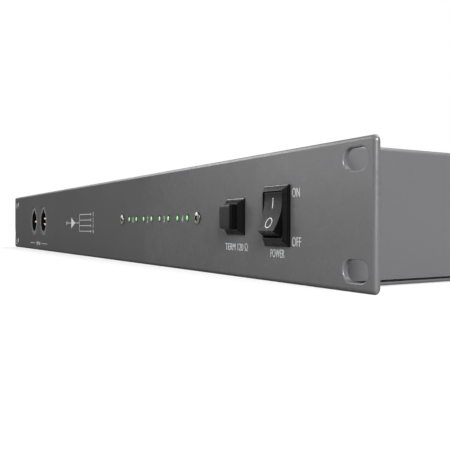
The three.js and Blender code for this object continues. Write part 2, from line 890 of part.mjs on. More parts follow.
function lampBoard() {
  const width = lampScrewSpan + 2 * lampBoardMargin;
  const board = alongDepth(rectangle(width, lampBoardHeight), lampBoardFront, lampBoardBack);
  const plug = header(-lampHeaderShift, 0, lampBoardBack, lampBoardBack + headerDepth);
  const spacers = [];
  const bores = [];
  for (const side of [-1, 1]) {
    const x = (side * lampScrewSpan) / 2;
    const nutBack = lampBoardBack + nutHeight;
    spacers.push(roundCut(spacerDiameter, x, 0, wallBack, nutBack));
    bores.push(roundCut(boreDiameter, x, 0, wallBack - overrun, nutBack + overrun));
  }
  return cut(join(board, plug, ...spacers), ...bores);
}

// Data inputs

function inputHousing() {
  const outer = inputBarrel / 2;
  const bore = inputBore / 2;
  const rear = insertDiameter / 2 + fitGap / 2;
  const barrel = turned([
    [bore + inputLead, inputRecess],
    [outer, inputRecess],
    [outer, inputDepth],
    [rear, inputDepth],
    [rear, inputFloor],
    [bore, inputFloor],
    [bore, inputRecess + inputLead],
    [bore + inputLead, inputRecess],
  ], wideSegments);
  const plateBack = wallBack + inputPlateThickness;
  const outline = roundedRectangle(inputPlate, inputPlate, inputPlateRound);
  const plate = alongDepth(outline, wallBack, plateBack);
  const hole = roundCut(outer + bore, 0, 0, wallBack - overrun, plateBack + overrun, wideSegments);
  const notchHeight = latchNotchRise + sheet;
  const notchMiddle = bore + latchNotchRise - notchHeight / 2;
  const notch = rectangle(latchNotchWidth, notchHeight, 0, notchMiddle);
  const key = rectangle(keyWidth, 2 * keyRise, 0, -bore);
  return cut(
    join(barrel, cut(plate, hole), alongDepth(key, keySetback, inputFloor)),
    alongDepth(notch, inputRecess - overrun, latchNotchDepth),
  );
}

const contactLayouts = {
  3: { circleDiameter: pinCircleThree, stepDegrees: 90 },
  5: { circleDiameter: pinCircleFive, stepDegrees: 60 },
};

// Contact places on a circle, left open at the top where the key sits.
function contactPlaces(count) {
  const { circleDiameter, stepDegrees } = contactLayouts[count];
  const radius = circleDiameter / 2;
  const places = [];
  for (let index = 0; index < count; index += 1) {
    const turn = (index - (count - 1) / 2) * stepDegrees - 90;
    const angle = THREE.MathUtils.degToRad(turn);
    places.push([radius * Math.cos(angle), radius * Math.sin(angle)]);
  }
  return places;
}

function inputContacts(count) {
  const pinRadius = pinDiameter / 2;
  const insertBack = inputFloor + insertThickness;
  const disc = roundCut(insertDiameter, 0, 0, inputFloor, insertBack, midSegments);
  const pin = turned([
    [0, pinSetback],
    [pinRadius / 2, pinSetback + pinTipRise],
    [pinRadius, pinSetback + pinRadius],
    [pinRadius, insertBack - insertThickness / 2],
    [0, insertBack - insertThickness / 2],
  ], fineSegments);
  const tail = roundCut(tailDiameter, 0, 0, insertBack - insertThickness / 2, inputDepth, smallSegments);
  const pins = contactPlaces(count).flatMap(([x, z]) => [placed(pin, x, 0, z), placed(tail, x, 0, z)]);
  return join(disc, ...pins);
}

function inputBoard() {
  const width = inputSpacing + 2 * inputBoardMargin;
  const board = alongDepth(rectangle(width, inputBoardHeight), inputDepth, inputBoardBack);
  return join(board, header(0, 0, inputBoardBack, inputBoardBack + headerDepth));
}

// Output sockets. Each is built about its own middle, with the case's rear face at y = 0.

function socketFlange() {
  const edgeWidth = flangeWidth - 2 * flangeEdge;
  const edgeTall = flangeTall - 2 * flangeEdge;
  const back = flangeThickness;
  return lofted([
    { outline: roundedRectangle(flangeWidth, flangeTall, flangeRound), y: 0 },
    { outline: roundedRectangle(flangeWidth, flangeTall, flangeRound), y: back - flangeEdge },
    { outline: roundedRectangle(edgeWidth, edgeTall, flangeRound - flangeEdge), y: back },
  ]);
}

// A domed head that faces +Y, as it shows on the flange of a socket or an inlet.
function flangeScrewHeadAt(x, z, seat) {
  const radius = flangeScrewHead / 2;
  const head = turned([
    [0, -flangeThickness / 2],
    [radius, -flangeThickness / 2],
    [radius, flangeScrewHeight / 2],
    [radius / 2, flangeScrewHeight],
    [0, flangeScrewHeight],
  ], fineSegments);
  return placed(head, x, seat, z);
}

function socketGroove() {
  const mouth = socketMouth / 2;
  const core = socketCore / 2;
  const floor = flangeThickness - socketGrooveDepth;
  const coreFace = flangeThickness - coreSetback;
  return turned([
    [0, coreFace],
    [core, coreFace],
    [core, floor],
    [mouth, floor],
    [mouth, flangeThickness + overrun],
    [0, flangeThickness + overrun],
  ], midSegments);
}

function outputSocket(count) {
  const barrel = roundCut(socketBarrel, 0, 0, -socketDepth, flangeThickness / 2, barrelSegments);
  const screws = [[-1, 1], [1, -1]].map(([side, end]) => {
    return flangeScrewHeadAt(side * flangeScrewSide, end * flangeScrewRise, flangeThickness);
  });
  const deep = flangeThickness - contactHoleDepth;
  const holes = contactPlaces(count).map(([x, z]) => {
    return roundCut(contactHole, x, z, deep, flangeThickness, contactSegments);
  });
  const recessFloor = flangeThickness - tabPocketDepth;
  const recessTall = tabTop - tabBottom + 2 * fitGap;
  const recessMiddle = (tabTop + tabBottom) / 2;
  const recess = rectangle(tabWidth + 2 * fitGap, recessTall, 0, recessMiddle);
  const pivot = tabPivotPlace();
  const pocket = circle(tabPivotDiameter + 2 * fitGap, smallSegments, pivot.y, pivot.z);
  const pocketReach = tabWidth / 2 + fitGap + tabPivotLength;
  const slotWide = hookWidth + 2 * hookSlotGap;
  const slotTop = tabBottom + hookThickness + 2 * hookSlotGap;
  const slotLow = tabBottom - hookDrop - hookSlotGap;
  const slot = rectangle(slotWide, slotTop - slotLow, 0, (slotTop + slotLow) / 2);
  return cut(
    join(socketFlange(), barrel, ...screws),
    socketGroove(),
    ...holes,
    alongDepth(recess, recessFloor, flangeThickness + overrun),
    alongSide(pocket, -pocketReach, pocketReach),
    alongDepth(slot, -hookReach - hookSlotGap, flangeThickness),
  );
}

// Where the release tab turns, in the socket's own middle frame.
function tabPivotPlace() {
  const y = flangeThickness + tabProud - tabThickness / 2;
  return { y, z: tabTop - tabPivotDrop };
}

function releaseTab() {
  const front = flangeThickness + tabProud - tabThickness;
  const back = flangeThickness + tabProud;
  const plate = rectangle(tabWidth, tabTop - tabBottom, 0, (tabTop + tabBottom) / 2);
  const arm = rectangle(hookWidth, hookThickness, 0, tabBottom + hookThickness / 2);
  const tooth = rectangle(hookWidth, hookDrop + hookThickness, 0, tabBottom + (hookThickness - hookDrop) / 2);
  const pivot = tabPivotPlace();
  const reach = tabWidth / 2 + tabPivotLength;
  return join(
    alongDepth(plate, front, back),
    alongDepth(arm, -hookReach, back - tabThickness / 2),
    alongDepth(tooth, -hookReach, hookTip - hookReach),
    alongSide(circle(tabPivotDiameter, smallSegments, pivot.y, pivot.z), -reach, reach),
  );
}

// Mains inlet, about the middle of its flange, with the case's rear face at y = 0.

function cupOutline() {
  const half = inletCupWidth / 2;
  const low = inletCupZ - inletCupTall / 2;
  const high = inletCupZ + inletCupTall / 2;
  return [
    new THREE.Vector2(-half, low),
    new THREE.Vector2(half, low),
    new THREE.Vector2(half, high - inletCupCorner),
    new THREE.Vector2(half - inletCupCorner, high),
    new THREE.Vector2(inletCupCorner - half, high),
    new THREE.Vector2(-half, high - inletCupCorner),
  ];
}

// The three blades: side sign and height, with the earth blade in the middle and above the others.
function bladePlaces() {
  const low = inletCupZ - inletBladeStagger / 2;
  const high = inletCupZ + inletBladeStagger / 2;
  return [[-inletBladeSpan / 2, low], [0, high], [inletBladeSpan / 2, low]];
}

function inletHousing() {
  const flange = roundedRectangle(inletFlangeWidth, inletFlangeTall, inletFlangeRound);
  const body = rectangle(inletBodyWidth, inletBodyTall);
  const bayZ = drawerZ - rearMiddle;
  const bay = rectangle(drawerBayWidth, drawerBayTall, 0, bayZ);
  const top = inletFlangeThickness;
  const slots = bladePlaces().map(([x, z]) => {
    const wide = inletBladeThickness + 2 * fitGap;
    const tall = inletBladeWidth + 2 * fitGap;
    return alongDepth(rectangle(wide, tall, x, z), -inletBodyDepth - overrun, top);
  });
  const screws = [-1, 1].map((side) => flangeScrewHeadAt((side * inletScrewSpan) / 2, 0, top));
  return cut(
    join(alongDepth(flange, 0, top), alongDepth(body, -inletBodyDepth, 0), ...screws),
    alongDepth(cupOutline(), top - inletCupDepth, top + overrun),
    alongDepth(bay, top - drawerBayDepth, top + overrun),
    ...slots,
  );
}

function inletBlade() {
  const outline = roundedRectangle(inletBladeThickness, inletBladeWidth, inletBladeRound);
  const tip = inletFlangeThickness - inletBladeSetback;
  const point = roundedRectangle(inletBladeThickness / 2, inletBladeWidth - inletBladeThickness / 2, 0);
  return lofted([
    { outline, y: -inletBodyDepth - inletBladeTail },
    { outline, y: tip - inletBladeThickness / 2 },
    { outline: point, y: tip },
  ]);
}

function fuseDrawer() {
  const wide = drawerBayWidth - 2 * drawerGap;
  const tall = drawerBayTall - 2 * drawerGap;
  const back = inletFlangeThickness + drawerProud;
  const front = inletFlangeThickness - drawerBayDepth + drawerGap;
  const block = alongDepth(rectangle(wide, tall), front, back);
  const pocketWide = wide - 2 * drawerWall;
  const pocketTall = tall - drawerWall + overrun;
  const pocket = rectangle(pocketWide, pocketTall, 0, (drawerWall + overrun) / 2);
  const grip = rectangle(wide / 2, drawerGripTall, 0, drawerGripTall - tall / 2 - drawerGripTall / 2);
  return cut(
    block,
    alongDepth(pocket, front + drawerWall, back - drawerFace - drawerGripDepth),
    alongDepth(grip, back - drawerGripDepth, back + overrun),
  );
}

function fuseLink() {
  const glass = fuseDiameter / 2;
  const band = glass + fuseCapExtra;
  const end = fuseLength / 2;
  return turnedAcross([
    [0, -end],
    [band, -end],
    [band, fuseCapLength - end],
    [glass, fuseCapLength - end],
    [glass, end - fuseCapLength],
    [band, end - fuseCapLength],
    [band, end],
    [0, end],
  ], fineSegments);
}

// Circuit boards inside

function splitterBoard() {
  const left = outputX(0, false) - flangeWidth / 2;
  const right = outputX(outputCount - 1, true) + flangeWidth / 2;
  const middle = (left + right) / 2;
  const tall = wallTop - floorTop - 2 * supplyMargin;
  const board = alongDepth(rectangle(right - left, tall, middle, 0), splitterBoardFront, splitterBoardBack);
  const parts = [];
  for (let output = 0; output < outputCount; output += 1) {
    const x = (outputX(output, false) + outputX(output, true)) / 2;
    for (const side of [-1, 1]) {
      const outline = rectangle(chipLength, chipWidth, x + side * chipLength, side * chipWidth);
      parts.push(alongDepth(outline, splitterBoardFront - chipHeight, splitterBoardFront));
    }
  }
  for (const x of [ribbonPlaces().lamp, ribbonPlaces().input, lowLeadX()]) {
    parts.push(header(x, 0, splitterBoardFront - headerDepth, splitterBoardFront));
  }
  return join(board, ...parts);
}

function supplyBoard() {
  const middleY = supplyFront + supplyLength / 2;
  const plan = rectangle(supplyWidth, supplyLength, supplyX, middleY);
  const board = upward(plan, supplyBoardUnder, supplyBoardTop);
  const inX = supplyX + supplyWidth / 2 - terminalWidth / 2;
  const inBlock = rectangle(terminalWidth, terminalLength, inX, supplyFront + terminalLength);
  const outX = supplyX - supplyWidth / 2 + terminalWidth / 2;
  const outBlock = rectangle(terminalWidth, terminalLength, outX, supplyBack - terminalLength);
  const blockTop = supplyBoardTop + terminalHeight;
  const canX = transformerX - coreWidth / 2 - canGap - reservoirDiameter / 2;
  const can = circle(reservoirDiameter, midSegments, canX, supplyFront + reservoirDiameter);
  return join(
    board,
    upward(inBlock, supplyBoardTop, blockTop),
    upward(outBlock, supplyBoardTop, blockTop),
    upward(can, supplyBoardTop, supplyBoardTop + reservoirHeight),
  );
}

function transformer() {
  const core = upward(rectangle(coreWidth, coreLength), 0, coreHeight);
  const coilLow = (coreHeight - coilHeight) / 2;
  const wound = roundedRectangle(coilWidth, coilLength, coilRound);
  return join(core, upward(wound, coilLow, coilLow + coilHeight));
}

// Wires

function wire(points, diameter, steps) {
  const path = new THREE.CatmullRomCurve3(points);
  const options = { steps, bevelEnabled: false, extrudePath: path };
  return solidFrom(new THREE.ExtrudeGeometry(new THREE.Shape(circle(diameter, smallSegments)), options));
}

function mainsLead() {
  const z = controlLift + bladeSpacing / 2;
  const front = rockerBodyDepth + bladeLength + fitGap;
  const back = caseRear - inletBodyDepth - inletBladeTail - fitGap;
  const endX = inletX + inletBladeSpan / 2;
  const endZ = rearMiddle + bladePlaces()[2][1];
  const middleY = (front + back) / 2;
  return wire([
    new THREE.Vector3(rockerX, front, z),
    new THREE.Vector3(rockerX, front + leadStraight, z),
    new THREE.Vector3((rockerX + endX) / 2, middleY, (z + endZ) / 2 - leadBow),
    new THREE.Vector3(endX, back - leadStraight, endZ),
    new THREE.Vector3(endX, back, endZ),
  ], mainsLeadDiameter, leadSteps);
}

function supplyLead() {
  const z = controlLift - bladeSpacing / 2;
  const front = rockerBodyDepth + bladeLength + fitGap;
  const endX = supplyX + supplyWidth / 2 + fitGap;
  const endY = supplyFront + terminalLength;
  const endZ = supplyBoardTop + terminalHeight / 2;
  return wire([
    new THREE.Vector3(rockerX, front, z),
    new THREE.Vector3(rockerX, front + leadStraight, z),
    new THREE.Vector3((rockerX + endX) / 2 + leadBow / 2, endY - leadStraight / 2, (z + endZ) / 2),
    new THREE.Vector3(endX + leadStraight, endY, endZ),
    new THREE.Vector3(endX, endY, endZ),
  ], supplyLeadDiameter, leadSteps);
}

function lowLeadX() {
  return ribbonPlaces().lamp + headerLength + headerGap;
}

function lowVoltageLead() {
  const startX = supplyX - supplyWidth / 2 - fitGap;
  const startY = supplyBack - terminalLength;
  const startZ = supplyBoardTop + terminalHeight / 2;
  const endX = lowLeadX();
  const endY = splitterBoardFront - headerDepth - fitGap;
  return wire([
    new THREE.Vector3(startX, startY, startZ),
    new THREE.Vector3(startX - leadStraight, startY, startZ),
    new THREE.Vector3(endX, endY - leadStraight, rearMiddle),
    new THREE.Vector3(endX, endY, rearMiddle),
  ], lowLeadDiameter, leadSteps);
}

function ribbonPlaces() {
  return { lamp: lampRowX - lampHeaderShift, input: inputPairX };
}

// The middle of a ribbon, in (y, z): level at both ends, with a low run along the floor between.
function ribbonMiddle(startY, startZ, share) {
  const endY = splitterBoardFront - headerDepth - fitGap;
  const runZ = floorTop + ribbonRunLift;
  const y = THREE.MathUtils.lerp(startY + fitGap, endY, share);
  const sunk = 1 - THREE.MathUtils.smoothstep(y, startY + ribbonEnd, startY + ribbonEnd + ribbonFall);
  const risen = THREE.MathUtils.smoothstep(y, endY - ribbonEnd - ribbonFall, endY - ribbonEnd);
  const z = runZ + (startZ - runZ) * sunk + (rearMiddle - runZ) * risen;
  return new THREE.Vector2(y, z);
}

// A flat ribbon that leaves a header at the front, runs along the floor and rises to the back board.
function ribbon(x, startY, startZ) {
  const low = [];
  const high = [];
  for (let step = 0; step <= ribbonSteps; step += 1) {
    const point = ribbonMiddle(startY, startZ, step / ribbonSteps);
    const before = ribbonMiddle(startY, startZ, Math.max(step - 1, 0) / ribbonSteps);
    const after = ribbonMiddle(startY, startZ, Math.min(step + 1, ribbonSteps) / ribbonSteps);
    const along = after.sub(before).normalize();
    const across = new THREE.Vector2(-along.y, along.x).multiplyScalar(ribbonThickness / 2);
    low.push(point.clone().sub(across));
    high.push(point.clone().add(across));
  }
  return alongSide([...low, ...high.reverse()], x - ribbonWidth / 2, x + ribbonWidth / 2);
}

// The whole assembly

addPiece('front_panel', panelPaint, frontPanel());
addPiece('base_tray', casePaint, baseTray());
addPiece('top_cover', casePaint, topCover());

const coverScrew = crossScrew(coverScrewHead, coverScrewHeadHeight, coverScrewLength);
coverScrewPlaces().forEach(([side, depth], index) => {
  const turn = coverScrew.rotate([0, 0, side * 90]);
  addPiece(`cover_screw_${index + 1}`, zincSteel, turn, side * caseSide, depth, floorTop + coverScrewLift);
});

const nut = hexNut();
[-studX, studX].forEach((x, index) => {
  addPiece(`panel_nut_${index + 1}`, zincSteel, nut, x, wallBack, controlLift);
});

addPiece('rocker_housing', blackPlastic, rockerHousing(), rockerX, 0, controlLift);
addPiece('rocker_paddle', blackPlastic, rockerPaddle(), rockerX, pivotDepth, rockerZ);
addPiece('button_housing', blackPlastic, buttonHousing(), buttonX, 0, controlLift);
addPiece('button_cap', blackPlastic, buttonCap(), buttonX, 0, controlLift);

const lampSolid = lamp();
for (let index = 0; index < lampCount; index += 1) {
  addPiece(`lamp_${index + 1}`, lampGreen, lampSolid, lampX(index), 0, controlLift);
}
addPiece('lamp_board', boardGreen, lampBoard(), lampRowX, 0, controlLift);
const lampScrew = crossScrew(lampScrewHead, lampScrewHeadHeight, lampScrewLength);
[-1, 1].forEach((side, index) => {
  const x = lampRowX + (side * lampScrewSpan) / 2;
  addPiece(`lamp_board_screw_${index + 1}`, nickelPlate, lampScrew, x, 0, controlLift);
});

const inputCounts = [3, 5];
const inputShell = inputHousing();
inputCounts.forEach((count, index) => {
  addPiece(`input_housing_${count}pin`, socketPlastic, inputShell, inputX[index], 0, controlLift);
  addPiece(`input_contacts_${count}pin`, goldPlate, inputContacts(count), inputX[index], 0, controlLift);
});
addPiece('input_board', boardGreen, inputBoard(), inputPairX, 0, controlLift);

const tabSolid = releaseTab();
inputCounts.forEach((count, index) => {
  const socket = outputSocket(count);
  for (let output = 0; output < outputCount; output += 1) {
    const x = outputX(output, index === 1);
    addPiece(`output_${output + 1}_socket_${count}pin`, socketPlastic, socket, x, caseRear, rearMiddle);
    addPiece(`output_${output + 1}_release_${count}pin`, nickelPlate, tabSolid, x, caseRear, rearMiddle);
  }
});

addPiece('inlet_housing', blackPlastic, inletHousing(), inletX, caseRear, rearMiddle);
const bladeNames = ['inlet_blade_neutral', 'inlet_blade_earth', 'inlet_blade_live'];
const blade = inletBlade();
bladePlaces().forEach(([x, z], index) => {
  addPiece(bladeNames[index], nickelPlate, blade, inletX + x, caseRear, rearMiddle + z);
});
addPiece('fuse_drawer', blackPlastic, fuseDrawer(), inletX, caseRear, drawerZ);
const fuseSeat = drawerWall + 2 * drawerGap + fuseDiameter / 2;
const fuseY = caseRear + inletFlangeThickness - drawerBayDepth + fuseSeat;
const fuseZ = drawerZ - drawerBayTall / 2 + fuseSeat;
addPiece('fuse_link', glassAndCaps, fuseLink(), inletX, fuseY, fuseZ);

addPiece('splitter_board', boardGreen, splitterBoard(), 0, 0, rearMiddle);
addPiece('supply_board', boardGreen, supplyBoard());
const transformerY = supplyBack - coilLength / 2 - supplyMargin;
addPiece('transformer', coreSteel, transformer(), transformerX, transformerY, supplyBoardTop);

addPiece('mains_lead', leadSleeve, mainsLead());
addPiece('supply_lead', leadSleeve, supplyLead());
addPiece('low_voltage_lead', leadSleeve, lowVoltageLead());
const ribbons = ribbonPlaces();
addPiece('lamp_ribbon', ribbonGrey, ribbon(ribbons.lamp, lampBoardBack + headerDepth, controlLift));
addPiece('input_ribbon', ribbonGrey, ribbon(ribbons.input, inputBoardBack + headerDepth, controlLift));

// The origin lies under the middle of the whole object, on the surface that it stands on.
const paddleTilt = THREE.MathUtils.degToRad(rockerTiltDegrees);
const paddleFront = paddleReach * Math.cos(paddleTilt) + paddleHalf * Math.sin(paddleTilt) - pivotDepth;
const frontReach = Math.max(capRise, paddleFront);
const rearReach = caseRear + Math.max(flangeThickness, inletFlangeThickness) + flangeScrewHeight;
group.position.y = (frontReach - rearReach) / 2;

export default group;
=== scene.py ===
"""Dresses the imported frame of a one-unit rack splitter for lighting data.

The frame gives every piece its place and its reach. The classes below build finer meshes for the
pieces that show, dress the ones that stay inside the case, print the panel and set up the studio.
Outlines and sizes are in millimetres, and a finished mesh is in metres.
"""

from __future__ import annotations

import logging
import math
from dataclasses import dataclass
from enum import Enum
from typing import Callable, Iterable, Sequence

import bmesh
import bpy
from mathutils import Matrix, Vector
from mathutils.bvhtree import BVHTree


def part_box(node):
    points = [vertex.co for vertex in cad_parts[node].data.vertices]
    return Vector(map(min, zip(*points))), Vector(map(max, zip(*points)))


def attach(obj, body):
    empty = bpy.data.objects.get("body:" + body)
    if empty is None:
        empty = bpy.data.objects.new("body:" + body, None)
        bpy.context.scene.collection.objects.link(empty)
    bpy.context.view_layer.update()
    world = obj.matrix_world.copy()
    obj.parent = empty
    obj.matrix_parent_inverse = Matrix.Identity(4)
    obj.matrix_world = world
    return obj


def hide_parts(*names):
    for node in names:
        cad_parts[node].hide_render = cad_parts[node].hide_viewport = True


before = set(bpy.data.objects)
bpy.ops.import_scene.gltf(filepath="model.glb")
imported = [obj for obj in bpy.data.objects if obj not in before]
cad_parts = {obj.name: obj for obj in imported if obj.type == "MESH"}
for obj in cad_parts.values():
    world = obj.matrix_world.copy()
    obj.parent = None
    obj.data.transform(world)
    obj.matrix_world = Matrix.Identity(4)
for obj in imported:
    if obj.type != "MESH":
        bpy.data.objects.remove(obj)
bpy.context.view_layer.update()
LOG = logging.getLogger("splitter")

MM = 0.001
ROOT = "root"
QUARTER = math.pi / 2
HALF_TURN = math.pi
FULL_TURN = 2 * math.pi
SHARP_DEGREES = 35
SLIVER = 1e-4
SPARE = 1.0

Point = tuple[float, float]
Triple = tuple[float, float, float]
Outline = list[Point]
Level = tuple[Outline, float]
Colour = tuple[int, int, int]
Socket = bpy.types.NodeSocket


class Facing(Enum):
    """How an outline is drawn out: which of across, up and along gives x, y and z."""

    DEPTH = (0, 2, 1)
    SIDE = (2, 0, 1)
    HEIGHT = (0, 1, 2)

    def place(self, *values: float) -> Vector:
        """Turns a distance across, up and along into a point in x, y and z."""
        return Vector([values[index] for index in self.value])


class Shape(Enum):
    """Which boolean step joins two solids."""

    CUT = "DIFFERENCE"
    JOIN = "UNION"


def rectangle(width: float, height: float, middle: Point = (0, 0)) -> Outline:
    """Draws a rectangle about its middle, counter-clockwise."""
    (x, y), half, rise = middle, width / 2, height / 2
    return [(x - half, y - rise), (x + half, y - rise), (x + half, y + rise), (x - half, y + rise)]


def quarter_turns(steps: int) -> list[float]:
    """Divides a quarter turn into even steps, from its start to its end."""
    return [QUARTER * step / steps for step in range(steps + 1)]


def around(middle: Point, radius: float, turns: Iterable[float]) -> Outline:
    """Sets a point on a circle at each angle, in radians."""
    return [(middle[0] + radius * math.cos(turn), middle[1] + radius * math.sin(turn)) for turn in turns]


def arc(middle: Point, radius: float, start: float, end: float, steps: int) -> Outline:
    """Draws a part of a circle between two angles in degrees, with one point more than its steps."""
    turns = [math.radians(start + (end - start) * step / steps) for step in range(steps + 1)]
    return around(middle, radius, turns)


def circle(diameter: float, steps: int, middle: Point = (0, 0)) -> Outline:
    """Draws a circle counter-clockwise, with a point for each step."""
    return around(middle, diameter / 2, [FULL_TURN * step / steps for step in range(steps)])


def rounded(width: float, height: float, radius: float, steps: int = 6, middle: Point = (0, 0)) -> Outline:
    """Draws a rectangle with round corners.

    Args:
        width: Size across.
        height: Size upwards.
        radius: Corner radius.
        steps: Steps in each corner.
        middle: Its middle.

    Returns:
        The points, counter-clockwise.
    """
    points: Outline = []
    corners = [(1, -1, -QUARTER), (1, 1, 0), (-1, 1, QUARTER), (-1, -1, HALF_TURN)]
    for side, end, start in corners:
        x = middle[0] + side * (width / 2 - radius)
        y = middle[1] + end * (height / 2 - radius)
        points += around((x, y), radius, [start + turn for turn in quarter_turns(steps)])
    return points


def mirrored(outline: Outline) -> Outline:
    """Draws an outline again across its middle line, the other way round."""
    return [(-across, up) for across, up in reversed(outline)]


def grown(outline: Outline, amount: float) -> Outline:
    """Moves the sides of an outline outwards.

    Args:
        outline: Points, counter-clockwise.
        amount: Distance, negative to shrink.

    Returns:
        As many points as were given.
    """
    moved: Outline = []
    count = len(outline)
    sharpest = 0.25
    for index, (x, y) in enumerate(outline):
        before, after = outline[index - 1], outline[(index + 1) % count]
        first = Vector((y - before[1], before[0] - x)).normalized()
        second = Vector((after[1] - y, x - after[0])).normalized()
        share = amount / max(1 + first.dot(second), sharpest)
        moved.append((x + (first.x + second.x) * share, y + (first.y + second.y) * share))
    return moved


def softened(outline: Outline, radius: float, steps: int = 4) -> Outline:
    """Rounds the sharp corners of an outline.

    Args:
        outline: Points, counter-clockwise.
        radius: How far along its sides a corner is rounded.
        steps: Steps in each rounded corner.

    Returns:
        The outline with each sharp corner as a curve.
    """
    points: Outline = []
    count = len(outline)
    least_turn, most_share = 0.5, 0.45
    for index in range(count):
        here = Vector(outline[index])
        back = Vector(outline[index - 1]) - here
        ahead = Vector(outline[(index + 1) % count]) - here
        if HALF_TURN - back.angle(ahead) < least_turn:
            points.append(tuple(here))
            continue
        reach = min(radius, most_share * back.length, most_share * ahead.length)
        start, end = here + back.normalized() * reach, here + ahead.normalized() * reach
        for step in range(steps + 1):
            share = step / steps
            curve = start * (1 - share) ** 2 + here * 2 * share * (1 - share) + end * share**2
            points.append(tuple(curve))
    return points


def stepped(outline: Outline, place: float, steps: Iterable[Point]) -> list[Level]:
    """Gives levels from a place on, each step a growth of the outline and a distance along."""
    return [(grown(outline, growth), place + along) for growth, along in steps]


def round_over(radius: float, steps: int) -> list[Point]:
    """Gives the steps of a rounded edge: how far in from the side, and how far back from the face."""
    return [(radius * (1 - math.sin(turn)), radius * (1 - math.cos(turn))) for turn in quarter_turns(steps)]


def block_levels(
    outline: Outline, start: float, end: float, start_round: float = 0, end_round: float = 0, steps: int = 4
) -> list[Level]:
    """Gives the levels of a block whose two end edges are rounded.

    Args:
        outline: The block's full outline.
        start: Where it starts.
        end: Where it ends.
        start_round: Edge radius at the start.
        end_round: Edge radius at the end.
        steps: Steps in each rounded edge.

    Returns:
        Outlines and their places, from start to end.
    """
    levels: list[Level] = []
    if start_round:
        edge = round_over(start_round, steps)[:-1]
        levels += stepped(outline, start, [(-inset, back) for inset, back in edge])
    levels += [(outline, start + start_round), (outline, end - end_round)]
    if end_round:
        edge = round_over(end_round, steps)[1:]
        levels += stepped(outline, end, [(-inset, -back) for back, inset in edge])
    return levels


def hole_levels(
    outline: Outline, depth: float, front_round: float, rear_round: float, steps: int
) -> list[Level]:
    """Gives the levels of a cutter for a hole whose edges are rounded over.

    Args:
        outline: The hole's own outline.
        depth: Thickness of the sheet, which starts at 0.
        front_round: Radius of the edge at 0.
        rear_round: Radius of the edge at the far face.
        steps: Steps in each rounded edge.

    Returns:
        Outlines and their places, from in front of the sheet to behind it.
    """
    levels = stepped(outline, -SPARE, [(front_round, 0)])
    levels += stepped(outline, 0, round_over(front_round, steps))
    levels += stepped(outline, depth, [(spread, -back) for back, spread in round_over(rear_round, steps)])
    return levels + stepped(outline, depth, [(rear_round, SPARE)])


def linked(name: str, data: bpy.types.ID) -> bpy.types.Object:
    """Puts a mesh, a text, a lamp or a camera into the scene.

    Args:
        name: The object's name.
        data: What it shows.

    Returns:
        The object.
    """
    holder = bpy.data.objects.new(name, data)
    bpy.context.scene.collection.objects.link(holder)
    return holder


def evaluated(holder: bpy.types.Object) -> bpy.types.Mesh:
    """Gives an object's mesh as its modifiers leave it."""
    bpy.context.view_layer.update()
    return bpy.data.meshes.new_from_object(holder.evaluated_get(bpy.context.evaluated_depsgraph_get()))


